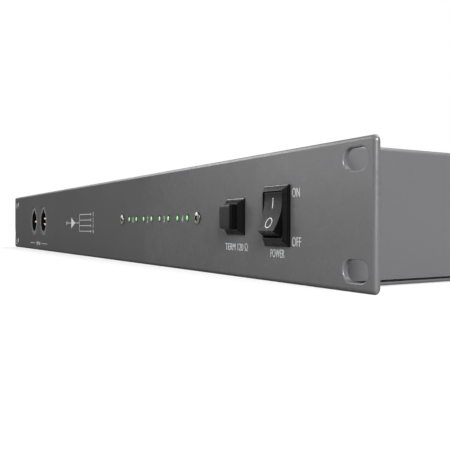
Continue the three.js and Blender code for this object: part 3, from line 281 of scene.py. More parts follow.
class Solid:
    """A closed mesh in the making, measured in millimetres."""

    def __init__(self, mesh: bmesh.types.BMesh | None = None) -> None:
        """Starts with a mesh, or with nothing in it."""
        self.mesh = bmesh.new() if mesh is None else mesh

    def ring(self, outline: Outline, along: float, facing: Facing) -> list[bmesh.types.BMVert]:
        """Adds the points of an outline at a place along the length."""
        return [self.mesh.verts.new(facing.place(u, v, along)) for u, v in outline]

    @classmethod
    def lofted(cls, levels: Sequence[Level], facing: Facing = Facing.DEPTH) -> Solid:
        """Draws a skin through outlines with equal numbers of points, and closes both ends.

        Args:
            levels: Outlines and their places, in order.
            facing: The way in which the outlines lie.

        Returns:
            The solid.
        """
        solid = cls()
        rings = [solid.ring(outline, along, facing) for outline, along in levels]
        for first, second in zip(rings, rings[1:]):
            for index in range(len(first)):
                solid.mesh.faces.new((first[index - 1], first[index], second[index], second[index - 1]))
        solid.mesh.faces.new(rings[0])
        solid.mesh.faces.new(rings[-1])
        return solid.tidied()

    @classmethod
    def block(cls, outline: Outline, start: float, end: float, facing: Facing = Facing.DEPTH) -> Solid:
        """Draws one outline straight out, from a start to an end."""
        return cls.lofted([(outline, start), (outline, end)], facing)

    @classmethod
    def lathed(cls, profile: Sequence[Point], steps: int, facing: Facing = Facing.DEPTH) -> Solid:
        """Turns a profile about its axis. The profile ends on the axis or closes on itself.

        Args:
            profile: Radius and place along the axis, in order.
            steps: Steps in the full turn.
            facing: The axis is this facing's length.

        Returns:
            The solid.
        """
        solid = cls()
        rings = []
        for radius, along in profile:
            outline = circle(2 * radius, steps) if radius else [(0, 0)]
            rings.append(solid.ring(outline, along, facing))
        pairs = list(zip(rings, rings[1:]))
        if len(rings[0]) > 1 and len(rings[-1]) > 1:
            pairs.append((rings[-1], rings[0]))
        for first, second in pairs:
            for index in range(steps):
                if len(first) == 1:
                    corners = (first[0], second[index], second[index - 1])
                elif len(second) == 1:
                    corners = (first[index - 1], first[index], second[0])
                else:
                    corners = (first[index - 1], first[index], second[index], second[index - 1])
                solid.mesh.faces.new(corners)
        return solid.tidied()

    def tidied(self) -> Solid:
        """Turns every face outwards."""
        bmesh.ops.recalc_face_normals(self.mesh, faces=self.mesh.faces)
        return self

    def copied(self) -> Solid:
        """Gives a second solid of the same shape."""
        return Solid(self.mesh.copy())

    def moved(self, x: float = 0, y: float = 0, z: float = 0) -> Solid:
        """Gives a moved copy.

        Args:
            x: How far to the right.
            y: How far back.
            z: How far up.

        Returns:
            The copy.
        """
        twin = self.copied()
        bmesh.ops.translate(twin.mesh, vec=Vector((x, y, z)), verts=twin.mesh.verts)
        return twin

    def turned(self, degrees: float, axis: str) -> Solid:
        """Gives a turned copy.

        Args:
            degrees: How far it turns.
            axis: X, Y or Z.

        Returns:
            The copy.
        """
        twin = self.copied()
        turn = Matrix.Rotation(math.radians(degrees), 3, axis)
        bmesh.ops.rotate(twin.mesh, cent=Vector(), matrix=turn, verts=twin.mesh.verts)
        return twin

    def beside(self, *others: Solid) -> Solid:
        """Gives this solid and others as the bodies of one mesh.

        Args:
            others: Solids that stay separate bodies.

        Returns:
            A solid that holds them all.
        """
        twin = self.copied()
        for other in others:
            twin.take(other)
        return twin

    def as_mesh(self, name: str) -> bpy.types.Mesh:
        """Gives the solid as a mesh of the scene.

        Args:
            name: The mesh's name.

        Returns:
            The mesh.
        """
        data = bpy.data.meshes.new(name)
        self.mesh.to_mesh(data)
        return data

    def take(self, other: Solid) -> None:
        """Copies another solid's faces into this one.

        Args:
            other: The other solid, which stays as it is.
        """
        carrier = other.as_mesh("carrier")
        self.mesh.from_mesh(carrier)
        bpy.data.meshes.remove(carrier)

    def held(self) -> bpy.types.Object:
        """Puts the solid into the scene for a boolean step."""
        return linked("working", self.as_mesh("working"))

    def shaped(self, step: Shape, *others: Solid) -> Solid:
        """Cuts other solids out of this one, or joins them to it.

        Args:
            step: Cut or join.
            others: The other solids.

        Returns:
            The result as one solid.
        """
        target, tool = self.held(), others[0].beside(*others[1:]).held()
        modifier = target.modifiers.new("shape", "BOOLEAN")
        modifier.operation = step.value
        modifier.solver = "EXACT"
        modifier.use_self = True
        modifier.object = tool
        made = evaluated(target)
        result = Solid()
        result.mesh.from_mesh(made)
        bmesh.ops.dissolve_degenerate(result.mesh, dist=SLIVER, edges=result.mesh.edges)
        used = [made, target.data, tool.data]
        bpy.data.objects.remove(target)
        bpy.data.objects.remove(tool)
        for mesh in used:
            bpy.data.meshes.remove(mesh)
        return result

    def cut(self, *others: Solid) -> Solid:
        """Gives this solid with others cut out of it."""
        return self.shaped(Shape.CUT, *others)

    def joined(self, *others: Solid) -> Solid:
        """Gives this solid fused with others."""
        return self.shaped(Shape.JOIN, *others)


@dataclass(frozen=True)
class NodePlace:
    """Where a CAD node lies at rest, in millimetres."""

    low: Vector
    high: Vector

    @classmethod
    def of(cls, node: str) -> NodePlace:
        """Reads a node's box from the frame."""
        low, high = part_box(node)
        return cls(low / MM, high / MM)

    @property
    def middle(self) -> Vector:
        """The middle of the box."""
        return (self.low + self.high) / 2

    @property
    def size(self) -> Vector:
        """The sides of the box."""
        return self.high - self.low


PANEL = NodePlace.of("front_panel")
TRAY = NodePlace.of("base_tray")
COVER = NodePlace.of("top_cover")
FRONT_Y = PANEL.low.y
REAR_Y = TRAY.high.y


def spot(node: str) -> Point:
    """Gives x and z of a CAD node's middle."""
    middle = NodePlace.of(node).middle
    return middle.x, middle.z


def front_middle(node: str) -> Vector:
    """Gives the point where a front piece's axis meets the panel's face."""
    x, z = spot(node)
    return Vector((x, FRONT_Y, z))


def rear_middle(node: str) -> Vector:
    """Gives the point where a rear piece's axis meets the case's rear face."""
    x, z = spot(node)
    return Vector((x, REAR_Y, z))


@dataclass(frozen=True)
class Openings:
    """The openings that the panel and the wall behind it share."""

    rocker: Point = (13.3, 19.3)
    button: Point = (12.3, 12.3)
    input: float = 22.4
    screw: float = 3.6

    def switches(self) -> list[Outline]:
        """Draws the openings of the rocker and of the button."""
        sizes = (("rocker_housing", self.rocker), ("button_housing", self.button))
        return [rectangle(*size, spot(node)) for node, size in sizes]


OPENINGS = Openings()
Dressed = tuple[Sequence[Solid], bpy.types.Material]


def shaded(data: bpy.types.Mesh) -> bpy.types.Mesh:
    """Shades a mesh smooth between its sharp edges, with flat faces kept flat.

    Args:
        data: The mesh, which is used up.

    Returns:
        A new mesh with these normals.
    """
    data.shade_smooth()
    data.set_sharp_from_angle(angle=math.radians(SHARP_DEGREES))
    holder = linked("working", data)
    weighted = holder.modifiers.new("flat_faces", "WEIGHTED_NORMAL")
    weighted.keep_sharp = True
    made = evaluated(holder)
    bpy.data.objects.remove(holder)
    bpy.data.meshes.remove(data)
    return made


def made_mesh(name: str, *parts: Dressed) -> bpy.types.Mesh:
    """Makes one mesh, in metres, from dressed solids.

    Args:
        name: The mesh's name.
        parts: Groups of solids, each group with its material.

    Returns:
        The mesh.
    """
    whole = Solid()
    for index, (solids, _) in enumerate(parts):
        for solid in solids:
            copy = solid.copied()
            for face in copy.mesh.faces:
                face.material_index = index
            whole.take(copy)
    bmesh.ops.scale(whole.mesh, vec=Vector((MM, MM, MM)), verts=whole.mesh.verts)
    data = whole.as_mesh(name)
    for _, material in parts:
        data.materials.append(material)
    made = shaded(data)
    made.name = name
    return made


def paint_highlight(
    mesh: bpy.types.Mesh, finish: bpy.types.Material, highlit: Callable[[Vector, Vector], bool]
) -> None:
    """Gives the faces of an edge or a fold a paler finish of their own, which paints a highlight on them.

    Args:
        mesh: A made mesh, in metres.
        finish: The paler finish of the highlit faces, which paints their highlight.
        highlit: Tells from a face's middle in millimetres and its normal whether it is one of them.
    """
    mesh.materials.append(finish)
    slot = len(mesh.materials) - 1
    for face in mesh.polygons:
        if highlit(face.center / MM, face.normal):
            face.material_index = slot


def placed(
    name: str,
    data: bpy.types.Mesh,
    at: Vector,
    body: str = ROOT,
    replaces: Sequence[str] = (),
) -> None:
    """Puts a mesh into the scene as a piece of the object.

    Args:
        name: The piece's name.
        data: Its mesh.
        at: Where the mesh's origin goes, in millimetres.
        body: The body that it rides on.
        replaces: CAD nodes that it stands for.
    """
    piece = linked(name, data)
    piece.location = at * MM
    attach(piece, body)
    if replaces:
        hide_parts(*replaces)
    LOG.info("%s: %d faces on %s", name, len(data.polygons), body)


def linear(colour: Colour) -> tuple[float, float, float, float]:
    """Turns a display colour into the values that a shader takes.

    Args:
        colour: Red, green and blue from 0 to 255.

    Returns:
        Linear red, green, blue and an alpha of 1.
    """
    shares = [value / 255 for value in colour]
    values = [share / 12.92 if share <= 0.04045 else ((share + 0.055) / 1.055) ** 2.4 for share in shares]
    return values[0], values[1], values[2], 1.0


def shade_of(colour: Colour, factor: float) -> Colour:
    """Gives a shade of a colour, lighter with a factor above 1."""
    return tuple(min(255, round(value * factor)) for value in colour)


class Nodes:
    """The shader nodes of a material or of the surround, laid out as they are mixed."""

    def __init__(self, owner: bpy.types.Material | bpy.types.World, shader: str) -> None:
        """Starts with the owner's shader.

        Args:
            owner: What the nodes belong to.
            shader: The name of its shader node.
        """
        owner.use_nodes = True
        self.nodes = owner.node_tree.nodes
        self.links = owner.node_tree.links
        self.surface = self.nodes[shader]

    def set(self, **values: float | tuple) -> None:
        """Sets constant values on the shader's own sockets, by name with _ for a space."""
        for name, value in values.items():
            self.surface.inputs[name.replace("_", " ")].default_value = value

    def feed(self, socket: str, source: Socket) -> None:
        """Links a node's output to a socket of the shader."""
        self.links.new(source, self.surface.inputs[socket])

    def worked(self, kind: str, operation: str, *sources: Socket) -> Socket:
        """Works a value out from others.

        Args:
            kind: Math or VectorMath.
            operation: What is done with them.
            sources: What it is done with.

        Returns:
            The value.
        """
        node = self.nodes.new(f"ShaderNode{kind}")
        node.operation = operation
        for source, socket in zip(sources, node.inputs):
            self.links.new(source, socket)
        return node.outputs["Value"]

    def spread(self, value: Socket, low: float, high: float, start: float = 0.3, end: float = 0.7) -> Socket:
        """Maps a value from one range to another.

        Args:
            value: The value.
            low: Result at the start.
            high: Result at the end.
            start: Start of the value's range.
            end: End of the value's range.

        Returns:
            The mapped value, held within its range.
        """
        mapped = self.nodes.new("ShaderNodeMapRange")
        for name, number in (("From Min", start), ("From Max", end), ("To Min", low), ("To Max", high)):
            mapped.inputs[name].default_value = number
        self.links.new(value, mapped.inputs["Value"])
        return mapped.outputs["Result"]

    def seen(self) -> Socket:
        """Tells rays from the camera, from gloss and through glass from the light on the object.

        Returns:
            1 for a ray that shows the background, else 0.
        """
        rays = self.nodes.new("ShaderNodeLightPath").outputs
        shown = self.worked("Math", "MAXIMUM", rays["Is Camera Ray"], rays["Is Glossy Ray"])
        return self.worked("Math", "MAXIMUM", shown, rays["Is Transmission Ray"])


class Sheet(Nodes):
    """The shader nodes of one material."""

    def __init__(self, name: str) -> None:
        """Starts a material with its surface shader and the piece's own coordinates.

        Args:
            name: The material's name.
        """
        self.material = bpy.data.materials.new(name)
        super().__init__(self.material, "Principled BSDF")
        self.place = self.nodes.new("ShaderNodeTexCoord").outputs["Object"]

    def stretched(self, stretch: Triple) -> Socket:
        """Scales the piece's coordinates along each axis.

        Args:
            stretch: A factor for x, y and z; a small one draws a pattern out.

        Returns:
            The scaled coordinates.
        """
        mapping = self.nodes.new("ShaderNodeMapping")
        mapping.inputs["Scale"].default_value = stretch
        self.links.new(self.place, mapping.inputs["Vector"])
        return mapping.outputs["Vector"]

    def noise(self, size: float, detail: float = 2, stretch: Triple = (1, 1, 1)) -> Socket:
        """Makes an even random pattern.

        Args:
            size: Size of its grains in millimetres.
            detail: How many finer layers it has.
            stretch: Factor along each axis.

        Returns:
            A value that varies about a half.
        """
        texture = self.nodes.new("ShaderNodeTexNoise")
        texture.inputs["Scale"].default_value = 1 / (size * MM)
        texture.inputs["Detail"].default_value = detail
        self.links.new(self.stretched(stretch), texture.inputs["Vector"])
        return texture.outputs["Fac"]

    def blended(self, share: Socket, first: Colour | Socket, second: Colour | Socket) -> Socket:
        """Mixes two colours.

        Args:
            share: How much of the second, from 0 to 1.
            first: The first colour.
            second: The second colour.

        Returns:
            The mixed colour.
        """
        mix = self.nodes.new("ShaderNodeMix")
        mix.data_type = "RGBA"
        self.links.new(share, mix.inputs["Factor"])
        for socket, value in ((mix.inputs[6], first), (mix.inputs[7], second)):
            if isinstance(value, tuple):
                socket.default_value = linear(value)
            else:
                self.links.new(value, socket)
        return mix.outputs[2]

    def clouded(self, colour: Colour, size: float, dark: float, light: float, detail: float = 3) -> Socket:
        """Lets a colour vary softly between two shades of itself, in clouds of a size in millimetres."""
        cloud = self.spread(self.noise(size, detail), 0, 1)
        return self.blended(cloud, shade_of(colour, dark), shade_of(colour, light))

    def roughen(self, size: float, detail: float, low: float, high: float) -> None:
        """Lets the roughness vary between two values, in grains of a size in millimetres."""
        self.feed("Roughness", self.spread(self.noise(size, detail), low, high))

    def relieve(self, height: Socket, depth: float) -> None:
        """Gives the surface a relief.

        Args:
            height: The pattern of its heights.
            depth: How deep it is, in millimetres.
        """
        node = self.nodes.new("ShaderNodeBump")
        node.inputs["Distance"].default_value = depth * MM
        node.inputs["Strength"].default_value = 1
        self.links.new(height, node.inputs["Height"])
        self.feed("Normal", node.outputs["Normal"])

    def edges(self, radius: float) -> Socket:
        """Finds the outer edges of the shape.

        Args:
            radius: How wide an edge counts, in millimetres.

        Returns:
            A value from 0 on flat faces to 1 along edges.
        """
        bevel = self.nodes.new("ShaderNodeBevel")
        bevel.samples = 4
        bevel.inputs["Radius"].default_value = radius * MM
        normal = self.nodes.new("ShaderNodeNewGeometry").outputs["Normal"]
        turn = self.worked("VectorMath", "DOT_PRODUCT", bevel.outputs["Normal"], normal)
        return self.spread(turn, 1, 0, 0.8, 1.0)

    def along(self, axis: str) -> Socket:
        """Gives one of the piece's own coordinates.

        Args:
            axis: X, Y or Z.

        Returns:
            The coordinate in metres.
        """
        parts = self.nodes.new("ShaderNodeSeparateXYZ")
        self.links.new(self.place, parts.inputs["Vector"])
        return parts.outputs[axis]


@dataclass(frozen=True)
class Finish:
    """What a surface is made of."""

    name: str

    def mix(self, sheet: Sheet) -> None:
        """Lays out the finish on a material's sheet."""
        raise NotImplementedError

    def material(self) -> bpy.types.Material:
        """Mixes the finish.

        Returns:
            The material.
        """
        sheet = Sheet(self.name)
        self.mix(sheet)
        return sheet.material


@dataclass(frozen=True)
class PowderCoat(Finish):
    """Satin powder coat with fine metal flake, a faint orange-peel skin and paler edges."""

    colour: Colour
    roughness: float = 0.27
    flake: float = 0.2
    gloss: float = 0.0
    edge_tint: Colour = (0, 0, 0)
    grain: float = 0.5
    relief: float = 0.003

    def mix(self, sheet: Sheet) -> None:
        """Mixes the coat.

        Args:
            sheet: The material's nodes.
        """
        body = sheet.clouded(self.colour, size=60, dark=0.985, light=1.015)
        speck = sheet.spread(sheet.noise(0.18, 1), 0, 0.5, 0.5, 0.8)
        specked = sheet.blended(speck, body, shade_of(self.colour, 1.12))
        sheet.feed("Base Color", sheet.blended(sheet.edges(0.35), specked, shade_of(self.colour, 1.2)))
        sheet.roughen(9, 4, self.roughness - 0.04, self.roughness + 0.06)
        sheet.relieve(sheet.noise(self.grain, 2), self.relief)
        sheet.set(Metallic=self.flake, Specular_IOR_Level=self.gloss, Specular_Tint=linear(self.edge_tint))


@dataclass(frozen=True)
class MouldedPlastic(Finish):
    """Moulded plastic with a spark-eroded skin, and slightly polished edges whose sheen is painted in as a
    paler colour.
    """

    colour: Colour
    roughness: float = 0.42
    grain: float = 0.12
    relief: float = 0.003
    gloss: float = 0.045

    def mix(self, sheet: Sheet) -> None:
        """Mixes the plastic.

        Args:
            sheet: The material's nodes.
        """
        body = sheet.clouded(self.colour, size=4, dark=0.9, light=1.1)
        # The edges are painted paler: a painted sheen where they are polished.
        sheet.feed("Base Color", sheet.blended(sheet.edges(0.2), body, shade_of(self.colour, 1.45)))
        sheet.roughen(1.5, 3, self.roughness - 0.06, self.roughness + 0.08)
        sheet.relieve(sheet.noise(self.grain, 2), self.relief)
        sheet.set(Specular_IOR_Level=self.gloss)


@dataclass(frozen=True)
class PlatedMetal(Finish):
    """Plated metal with fine handling marks."""

    colour: Colour
    roughness: float = 0.24
    marks: float = 0.0015

    def mix(self, sheet: Sheet) -> None:
        """Mixes the plating.

        Args:
            sheet: The material's nodes.
        """
        sheet.feed("Base Color", sheet.clouded(self.colour, size=1.2, dark=0.9, light=1))
        sheet.roughen(0.7, 4, self.roughness - 0.07, self.roughness + 0.1)
        sheet.relieve(sheet.noise(0.25, 3, (1, 0.08, 1)), self.marks)
        sheet.set(Metallic=1.0)


@dataclass(frozen=True)
class LampResin(Finish):
    """The tinted lens of a lit signal lamp, bright at its core and deeper at its rim."""

    core: Colour
    rim: Colour
    radius: float
    glow: float = 1.0

    def mix(self, sheet: Sheet) -> None:
        """Mixes the resin.

        Args:
            sheet: The material's nodes.
        """
        distance = sheet.worked("VectorMath", "LENGTH", sheet.stretched((1, 0, 1)))
        rim_share = sheet.spread(distance, 0, 1, self.radius * MM * 0.5, self.radius * MM * 0.92)
        mottle = sheet.spread(sheet.noise(0.6, 2), 0, 0.15)
        colour = sheet.blended(rim_share, self.core, self.rim)
        sheet.feed("Base Color", sheet.blended(mottle, self.rim, shade_of(self.rim, 1.5)))
        sheet.feed("Emission Color", sheet.blended(mottle, colour, self.rim))
        sheet.roughen(0.4, 2, 0.08, 0.18)
        sheet.set(Emission_Strength=self.glow, Specular_IOR_Level=0.6)


@dataclass(frozen=True)
class PrintInk(Finish):
    """Screen-printed ink with the faint pinholes of a thin coat."""

    colour: Colour

    def mix(self, sheet: Sheet) -> None:
        """Mixes the ink.

        Args:
            sheet: The material's nodes.
        """
        thin = sheet.spread(sheet.noise(0.25, 3), 0, 0.35, 0.55, 0.75)
        sheet.feed("Base Color", sheet.blended(thin, self.colour, shade_of(self.colour, 0.75)))
        sheet.relieve(sheet.noise(0.15, 2), 0.002)
        sheet.set(Roughness=0.55)


@dataclass(frozen=True)
class BoardLacquer(Finish):
    """A circuit board: green lacquer with faint tracks, and dark parts that stand off the board."""

    axis: str
    low: float
    high: float
    lacquer: Colour = (30, 92, 58)
    parts: Colour = (34, 35, 38)
    track_pitch: float = 4.0
    edge: float = 0.02

    def mix(self, sheet: Sheet) -> None:
        """Mixes the lacquer with its tracks, and the parts' colour off the board.

        Args:
            sheet: The material's nodes.
        """
        cells = sheet.nodes.new("ShaderNodeTexVoronoi")
        cells.feature = "F1"
        cells.distance = "CHEBYCHEV"
        cells.inputs["Scale"].default_value = 1 / (self.track_pitch * MM)
        sheet.links.new(sheet.place, cells.inputs["Vector"])
        track = sheet.spread(cells.outputs["Distance"], 1, 0, 0.35, 0.45)
        coloured = sheet.blended(track, self.lacquer, shade_of(self.lacquer, 1.35))
        coordinate = sheet.along(self.axis)
        for face, before, beyond in ((self.high, 0, 1), (self.low, 1, 0)):
            start, end = (face - self.edge) * MM, (face + self.edge) * MM
            off_board = sheet.spread(coordinate, before, beyond, start, end)
            coloured = sheet.blended(off_board, coloured, self.parts)
        sheet.feed("Base Color", coloured)
        sheet.roughen(2, 3, 0.35, 0.5)
        sheet.relieve(track, 0.03)


@dataclass(frozen=True)
class StripedPack(Finish):
    """Stacked iron sheets or parallel cores: fine stripes across x."""

    dark: Colour
    light: Colour
    pitch: float
    roughness: float = 0.5

    def mix(self, sheet: Sheet) -> None:
        """Mixes the stripes.

        Args:
            sheet: The material's nodes.
        """
        wave = sheet.nodes.new("ShaderNodeTexWave")
        wave.bands_direction = "X"
        wave.inputs["Scale"].default_value = FULL_TURN / (20 * self.pitch * MM)
        wave.inputs["Distortion"].default_value = 0
        sheet.links.new(sheet.place, wave.inputs["Vector"])
        sheet.feed("Base Color", sheet.blended(wave.outputs["Fac"], self.dark, self.light))
        sheet.roughen(1, 2, self.roughness - 0.1, self.roughness + 0.1)
        sheet.relieve(wave.outputs["Fac"], 0.08)


@dataclass(frozen=True)
class ClearGlass(Finish):
    """The clear tube of a fuse."""

    colour: Colour

    def mix(self, sheet: Sheet) -> None:
        """Mixes the glass.

        Args:
            sheet: The material's nodes.
        """
        sheet.feed("Base Color", sheet.clouded(self.colour, size=1, dark=1, light=0.95, detail=2))
        sheet.roughen(0.5, 2, 0.03, 0.1)
        sheet.set(Transmission_Weight=0.9, IOR=1.5)


class Finishes:
    """Every finish of the splitter, mixed once."""

    def __init__(self) -> None:
        """Mixes the materials."""
        self.panel = PowderCoat("panel_coat", (101, 101, 102)).material()
        # The edge coat is paler and glossier than the panel's coat: it paints the highlight along the top
        # edge, the end crests and the slot rims.
        edge = PowderCoat("panel_edge_highlight", (115, 115, 116), 0.29, 0.6, edge_tint=(185, 185, 185), relief=0.0004)
        self.edge = edge.material()
        self.case = PowderCoat("case_coat", (105, 105, 107), 0.42, 0.22).material()
        # The fold coat is paler and glossier than the case's coat: it paints the highlight along the cover's
        # top folds.
        fold = PowderCoat("case_fold_highlight", (119, 119, 121), 0.34, 0.5, edge_tint=(120, 120, 120), relief=0.001)
        self.fold = fold.material()
        self.zinc = PlatedMetal("zinc_plate", (150, 152, 156), 0.32).material()
        self.nickel = PlatedMetal("bright_nickel", (164, 161, 154), 0.24).material()
        # The screw plating is much darker than chrome: its colour paints the dark reflections of the room
        # around the screws.
        self.chrome = PlatedMetal("screw_chrome", (108, 106, 100), 0.12).material()
        self.gold = PlatedMetal("gold_contacts", (222, 196, 138), 0.2).material()
        self.switch = MouldedPlastic("switch_plastic", (11, 11, 12), 0.3, relief=0.0014).material()
        # The rim plastic is paler and glossier than the switch plastic: it paints the highlight on the
        # upward-facing lip of each switch frame.
        self.rim = MouldedPlastic("switch_rim_highlight", (30, 30, 31), 0.26, relief=0.0006, gloss=0.5).material()
        self.socket = MouldedPlastic("socket_plastic", (15, 15, 16), 0.45, gloss=0.02).material()
        # The face plastic is paler and glossier than the shell plastic: it paints the light falling on the
        # inputs' front faces.
        self.socket_face_highlight = MouldedPlastic("socket_face_highlight", (36, 36, 38), 0.4, gloss=0.1).material()
        self.insert = MouldedPlastic("insert_plastic", (8, 8, 9), 0.5).material()
        self.lamp = LampResin("lamp_resin", (118, 240, 96), (6, 44, 10), 1.2).material()
        self.ink = PrintInk("panel_ink", (184, 185, 186)).material()
        self.mark_ink = PrintInk("switch_ink", (218, 219, 220)).material()
        self.glass = ClearGlass("fuse_tube", (235, 240, 238)).material()
        self.sleeve = MouldedPlastic("lead_sleeve", (42, 43, 46), 0.6).material()


@dataclass
class CrossScrew:
    """A pan-head machine screw with a cross recess. Its seat is at y = 0 and it drives towards +Y."""

    head: float
    rise: float
    length: float
    shank: float = 3.0
    cross_length: float = 3.2
    cross_width: float = 1.0
    cross_depth: float = 1.3
    edge: float = 0.12
    tip: float = 0.4
    steps: int = 40

    def cross(self, share: float) -> Outline:
        """Draws the recess's cross.

        Args:
            share: Its size against the full size.

        Returns:
            Twelve points.
        """
        reach, half = self.cross_length / 2 * share, self.cross_width / 2 * share
        quarter = [(reach, -half), (reach, half), (half, half)]
        points: Outline = []
        for turn in range(4):
            cosine, sine = math.cos(QUARTER * turn), math.sin(QUARTER * turn)
            points += [(x * cosine - y * sine, x * sine + y * cosine) for x, y in quarter]
        return points

    def solid(self) -> Solid:
        """Builds the screw.

        Returns:
            The solid, with its axis along y.
        """
        radius, shank = self.head / 2, self.shank / 2
        crown = [(radius * x, -self.rise * (0.42 + 0.58 * up)) for x, up in arc((0, 0), 1, 90, 12, 8)]
        crown[0] = (0, -self.rise)
        side = [(radius, -self.rise * 0.4), (radius, -self.edge), (radius - self.edge, 0), (shank, 0)]
        end = [(shank, self.length - self.tip), (shank - self.tip, self.length), (0, self.length)]
        blank = Solid.lathed([*crown, *side, *end], self.steps)
        depths = ((1.0, -SPARE), (0.96, 0.2), (0.6, self.cross_depth * 0.8), (0.2, self.cross_depth))
        return blank.cut(Solid.lofted([(self.cross(share), -self.rise + depth) for share, depth in depths]))


def flange_screw() -> Solid:
    """Builds the small screw that holds a flange to the case's back, its head towards +Y."""
    screw = CrossScrew(4.8, 1.4, 4.0, cross_length=2.6, cross_width=0.75, cross_depth=0.9)
    return screw.solid().turned(180, "Z")


@dataclass
class FrontPanel:
    """The thick front plate with its rack slots and every control's hole."""

    finishes: Finishes
    edge_round: float = 1.5
    corner_round: float = 2.0
    rear_round: float = 0.7
    steps: int = 8
    slot: Point = (11.0, 6.5)
    slot_from_end: float = 8.75
    slot_from_edge: float = 6.125
    slot_round: float = 0.5
    lamp_hole: float = 3.3
    stud: float = 3.0
    stud_tip: float = 0.4

    @property
    def thickness(self) -> float:
        """From the panel's face to the case's front wall."""
        return TRAY.low.y - PANEL.low.y

    def outline(self, inset: float) -> Outline:
        """Draws the plate's outline, drawn in by an inset."""
        width, height = PANEL.size.x - 2 * inset, PANEL.size.z - 2 * inset
        return rounded(width, height, max(self.corner_round - inset, 0.05), 8, (0, PANEL.size.z / 2))

    def plate(self) -> Solid:
        """Builds the plate with its rounded edge and without holes.

        Returns:
            The plate, its front face at y = 0.
        """
        levels = [(self.outline(inset), back) for inset, back in round_over(self.edge_round, self.steps)]
        rear = round_over(self.rear_round, self.steps // 2)
        levels += [(self.outline(inset), self.thickness - back) for back, inset in rear]
        return Solid.lofted(levels)

    def holes(self) -> list[Solid]:
        """Builds a cutter for each hole.

        Returns:
            The cutters.
        """
        thick = self.thickness
        cutters = []
        for side in (-1, 1):
            x = side * (PANEL.size.x / 2 - self.slot_from_end)
            for z in (self.slot_from_edge, PANEL.size.z - self.slot_from_edge):
                slot = rounded(*self.slot, self.slot[1] / 2 - 0.01, 12, (x, z))
                cutters.append(Solid.lofted(hole_levels(slot, thick, self.slot_round, 0.15, 5)))
        cutters += [Solid.block(outline, -SPARE, thick + SPARE) for outline in OPENINGS.switches()]
        rounds = [(f"lamp_{number}", self.lamp_hole, 0.12, 24) for number in range(1, 9)]
        rounds += [(f"lamp_board_screw_{number}", OPENINGS.screw, 0.1, 24) for number in (1, 2)]
        rounds += [(f"input_housing_{count}pin", OPENINGS.input, 0.2, 64) for count in (3, 5)]
        for node, diameter, edge, steps in rounds:
            outline = circle(diameter, steps, spot(node))
            cutters.append(Solid.lofted(hole_levels(outline, thick, edge, 0.1, 3)))
        return cutters

    def build(self) -> None:
        """Makes the panel with its two welded studs."""
        plate = self.plate().cut(*self.holes())
        radius, tip = self.stud / 2, self.stud_tip
        back, end = self.thickness - 0.2, PANEL.high.y - FRONT_Y
        profile = [(0, back), (radius, back), (radius, end - tip), (radius - tip, end), (0, end)]
        studs = []
        for number in (1, 2):
            x, z = spot(f"panel_nut_{number}")
            studs.append(Solid.lathed(profile, 24).moved(x, 0, z))
        mesh = made_mesh("front_plate", ([plate], self.finishes.panel), (studs, self.finishes.zinc))
        # The top edge, the end crests and the slot rims take the paler edge coat as a painted highlight; the
        # bottom edge keeps the plain coat.
        paint_highlight(mesh, self.finishes.edge, self.in_painted_highlight)
        placed("front_plate", mesh, Vector((0, FRONT_Y, 0)), ROOT, ["front_panel"])

    def in_painted_highlight(self, middle: Vector, normal: Vector) -> bool:
        """Tells whether a face is in the rounded top edge, the crest of an end edge or a slot's rim, the
        faces that get the painted highlight.

        Args:
            middle: The face's middle, the panel's face at y = 0.
            normal: Its normal.

        Returns:
            Whether it is.
        """
        from_top, from_end = PANEL.size.z - middle.z, PANEL.size.x / 2 - abs(middle.x)
        at_top = from_top < self.edge_round and normal.z > 0.1
        at_end = from_end < self.edge_round and 0.55 < abs(normal.x) < 0.85
        in_ear = self.edge_round < from_end < 2 * self.slot_from_end
        inside = in_ear and self.edge_round < middle.z < PANEL.size.z - self.edge_round
        at_slot = inside and 0.05 < -normal.y < 0.98
        depth = self.slot_round if at_slot else self.edge_round
        return middle.y < depth and (at_top or at_end or at_slot)


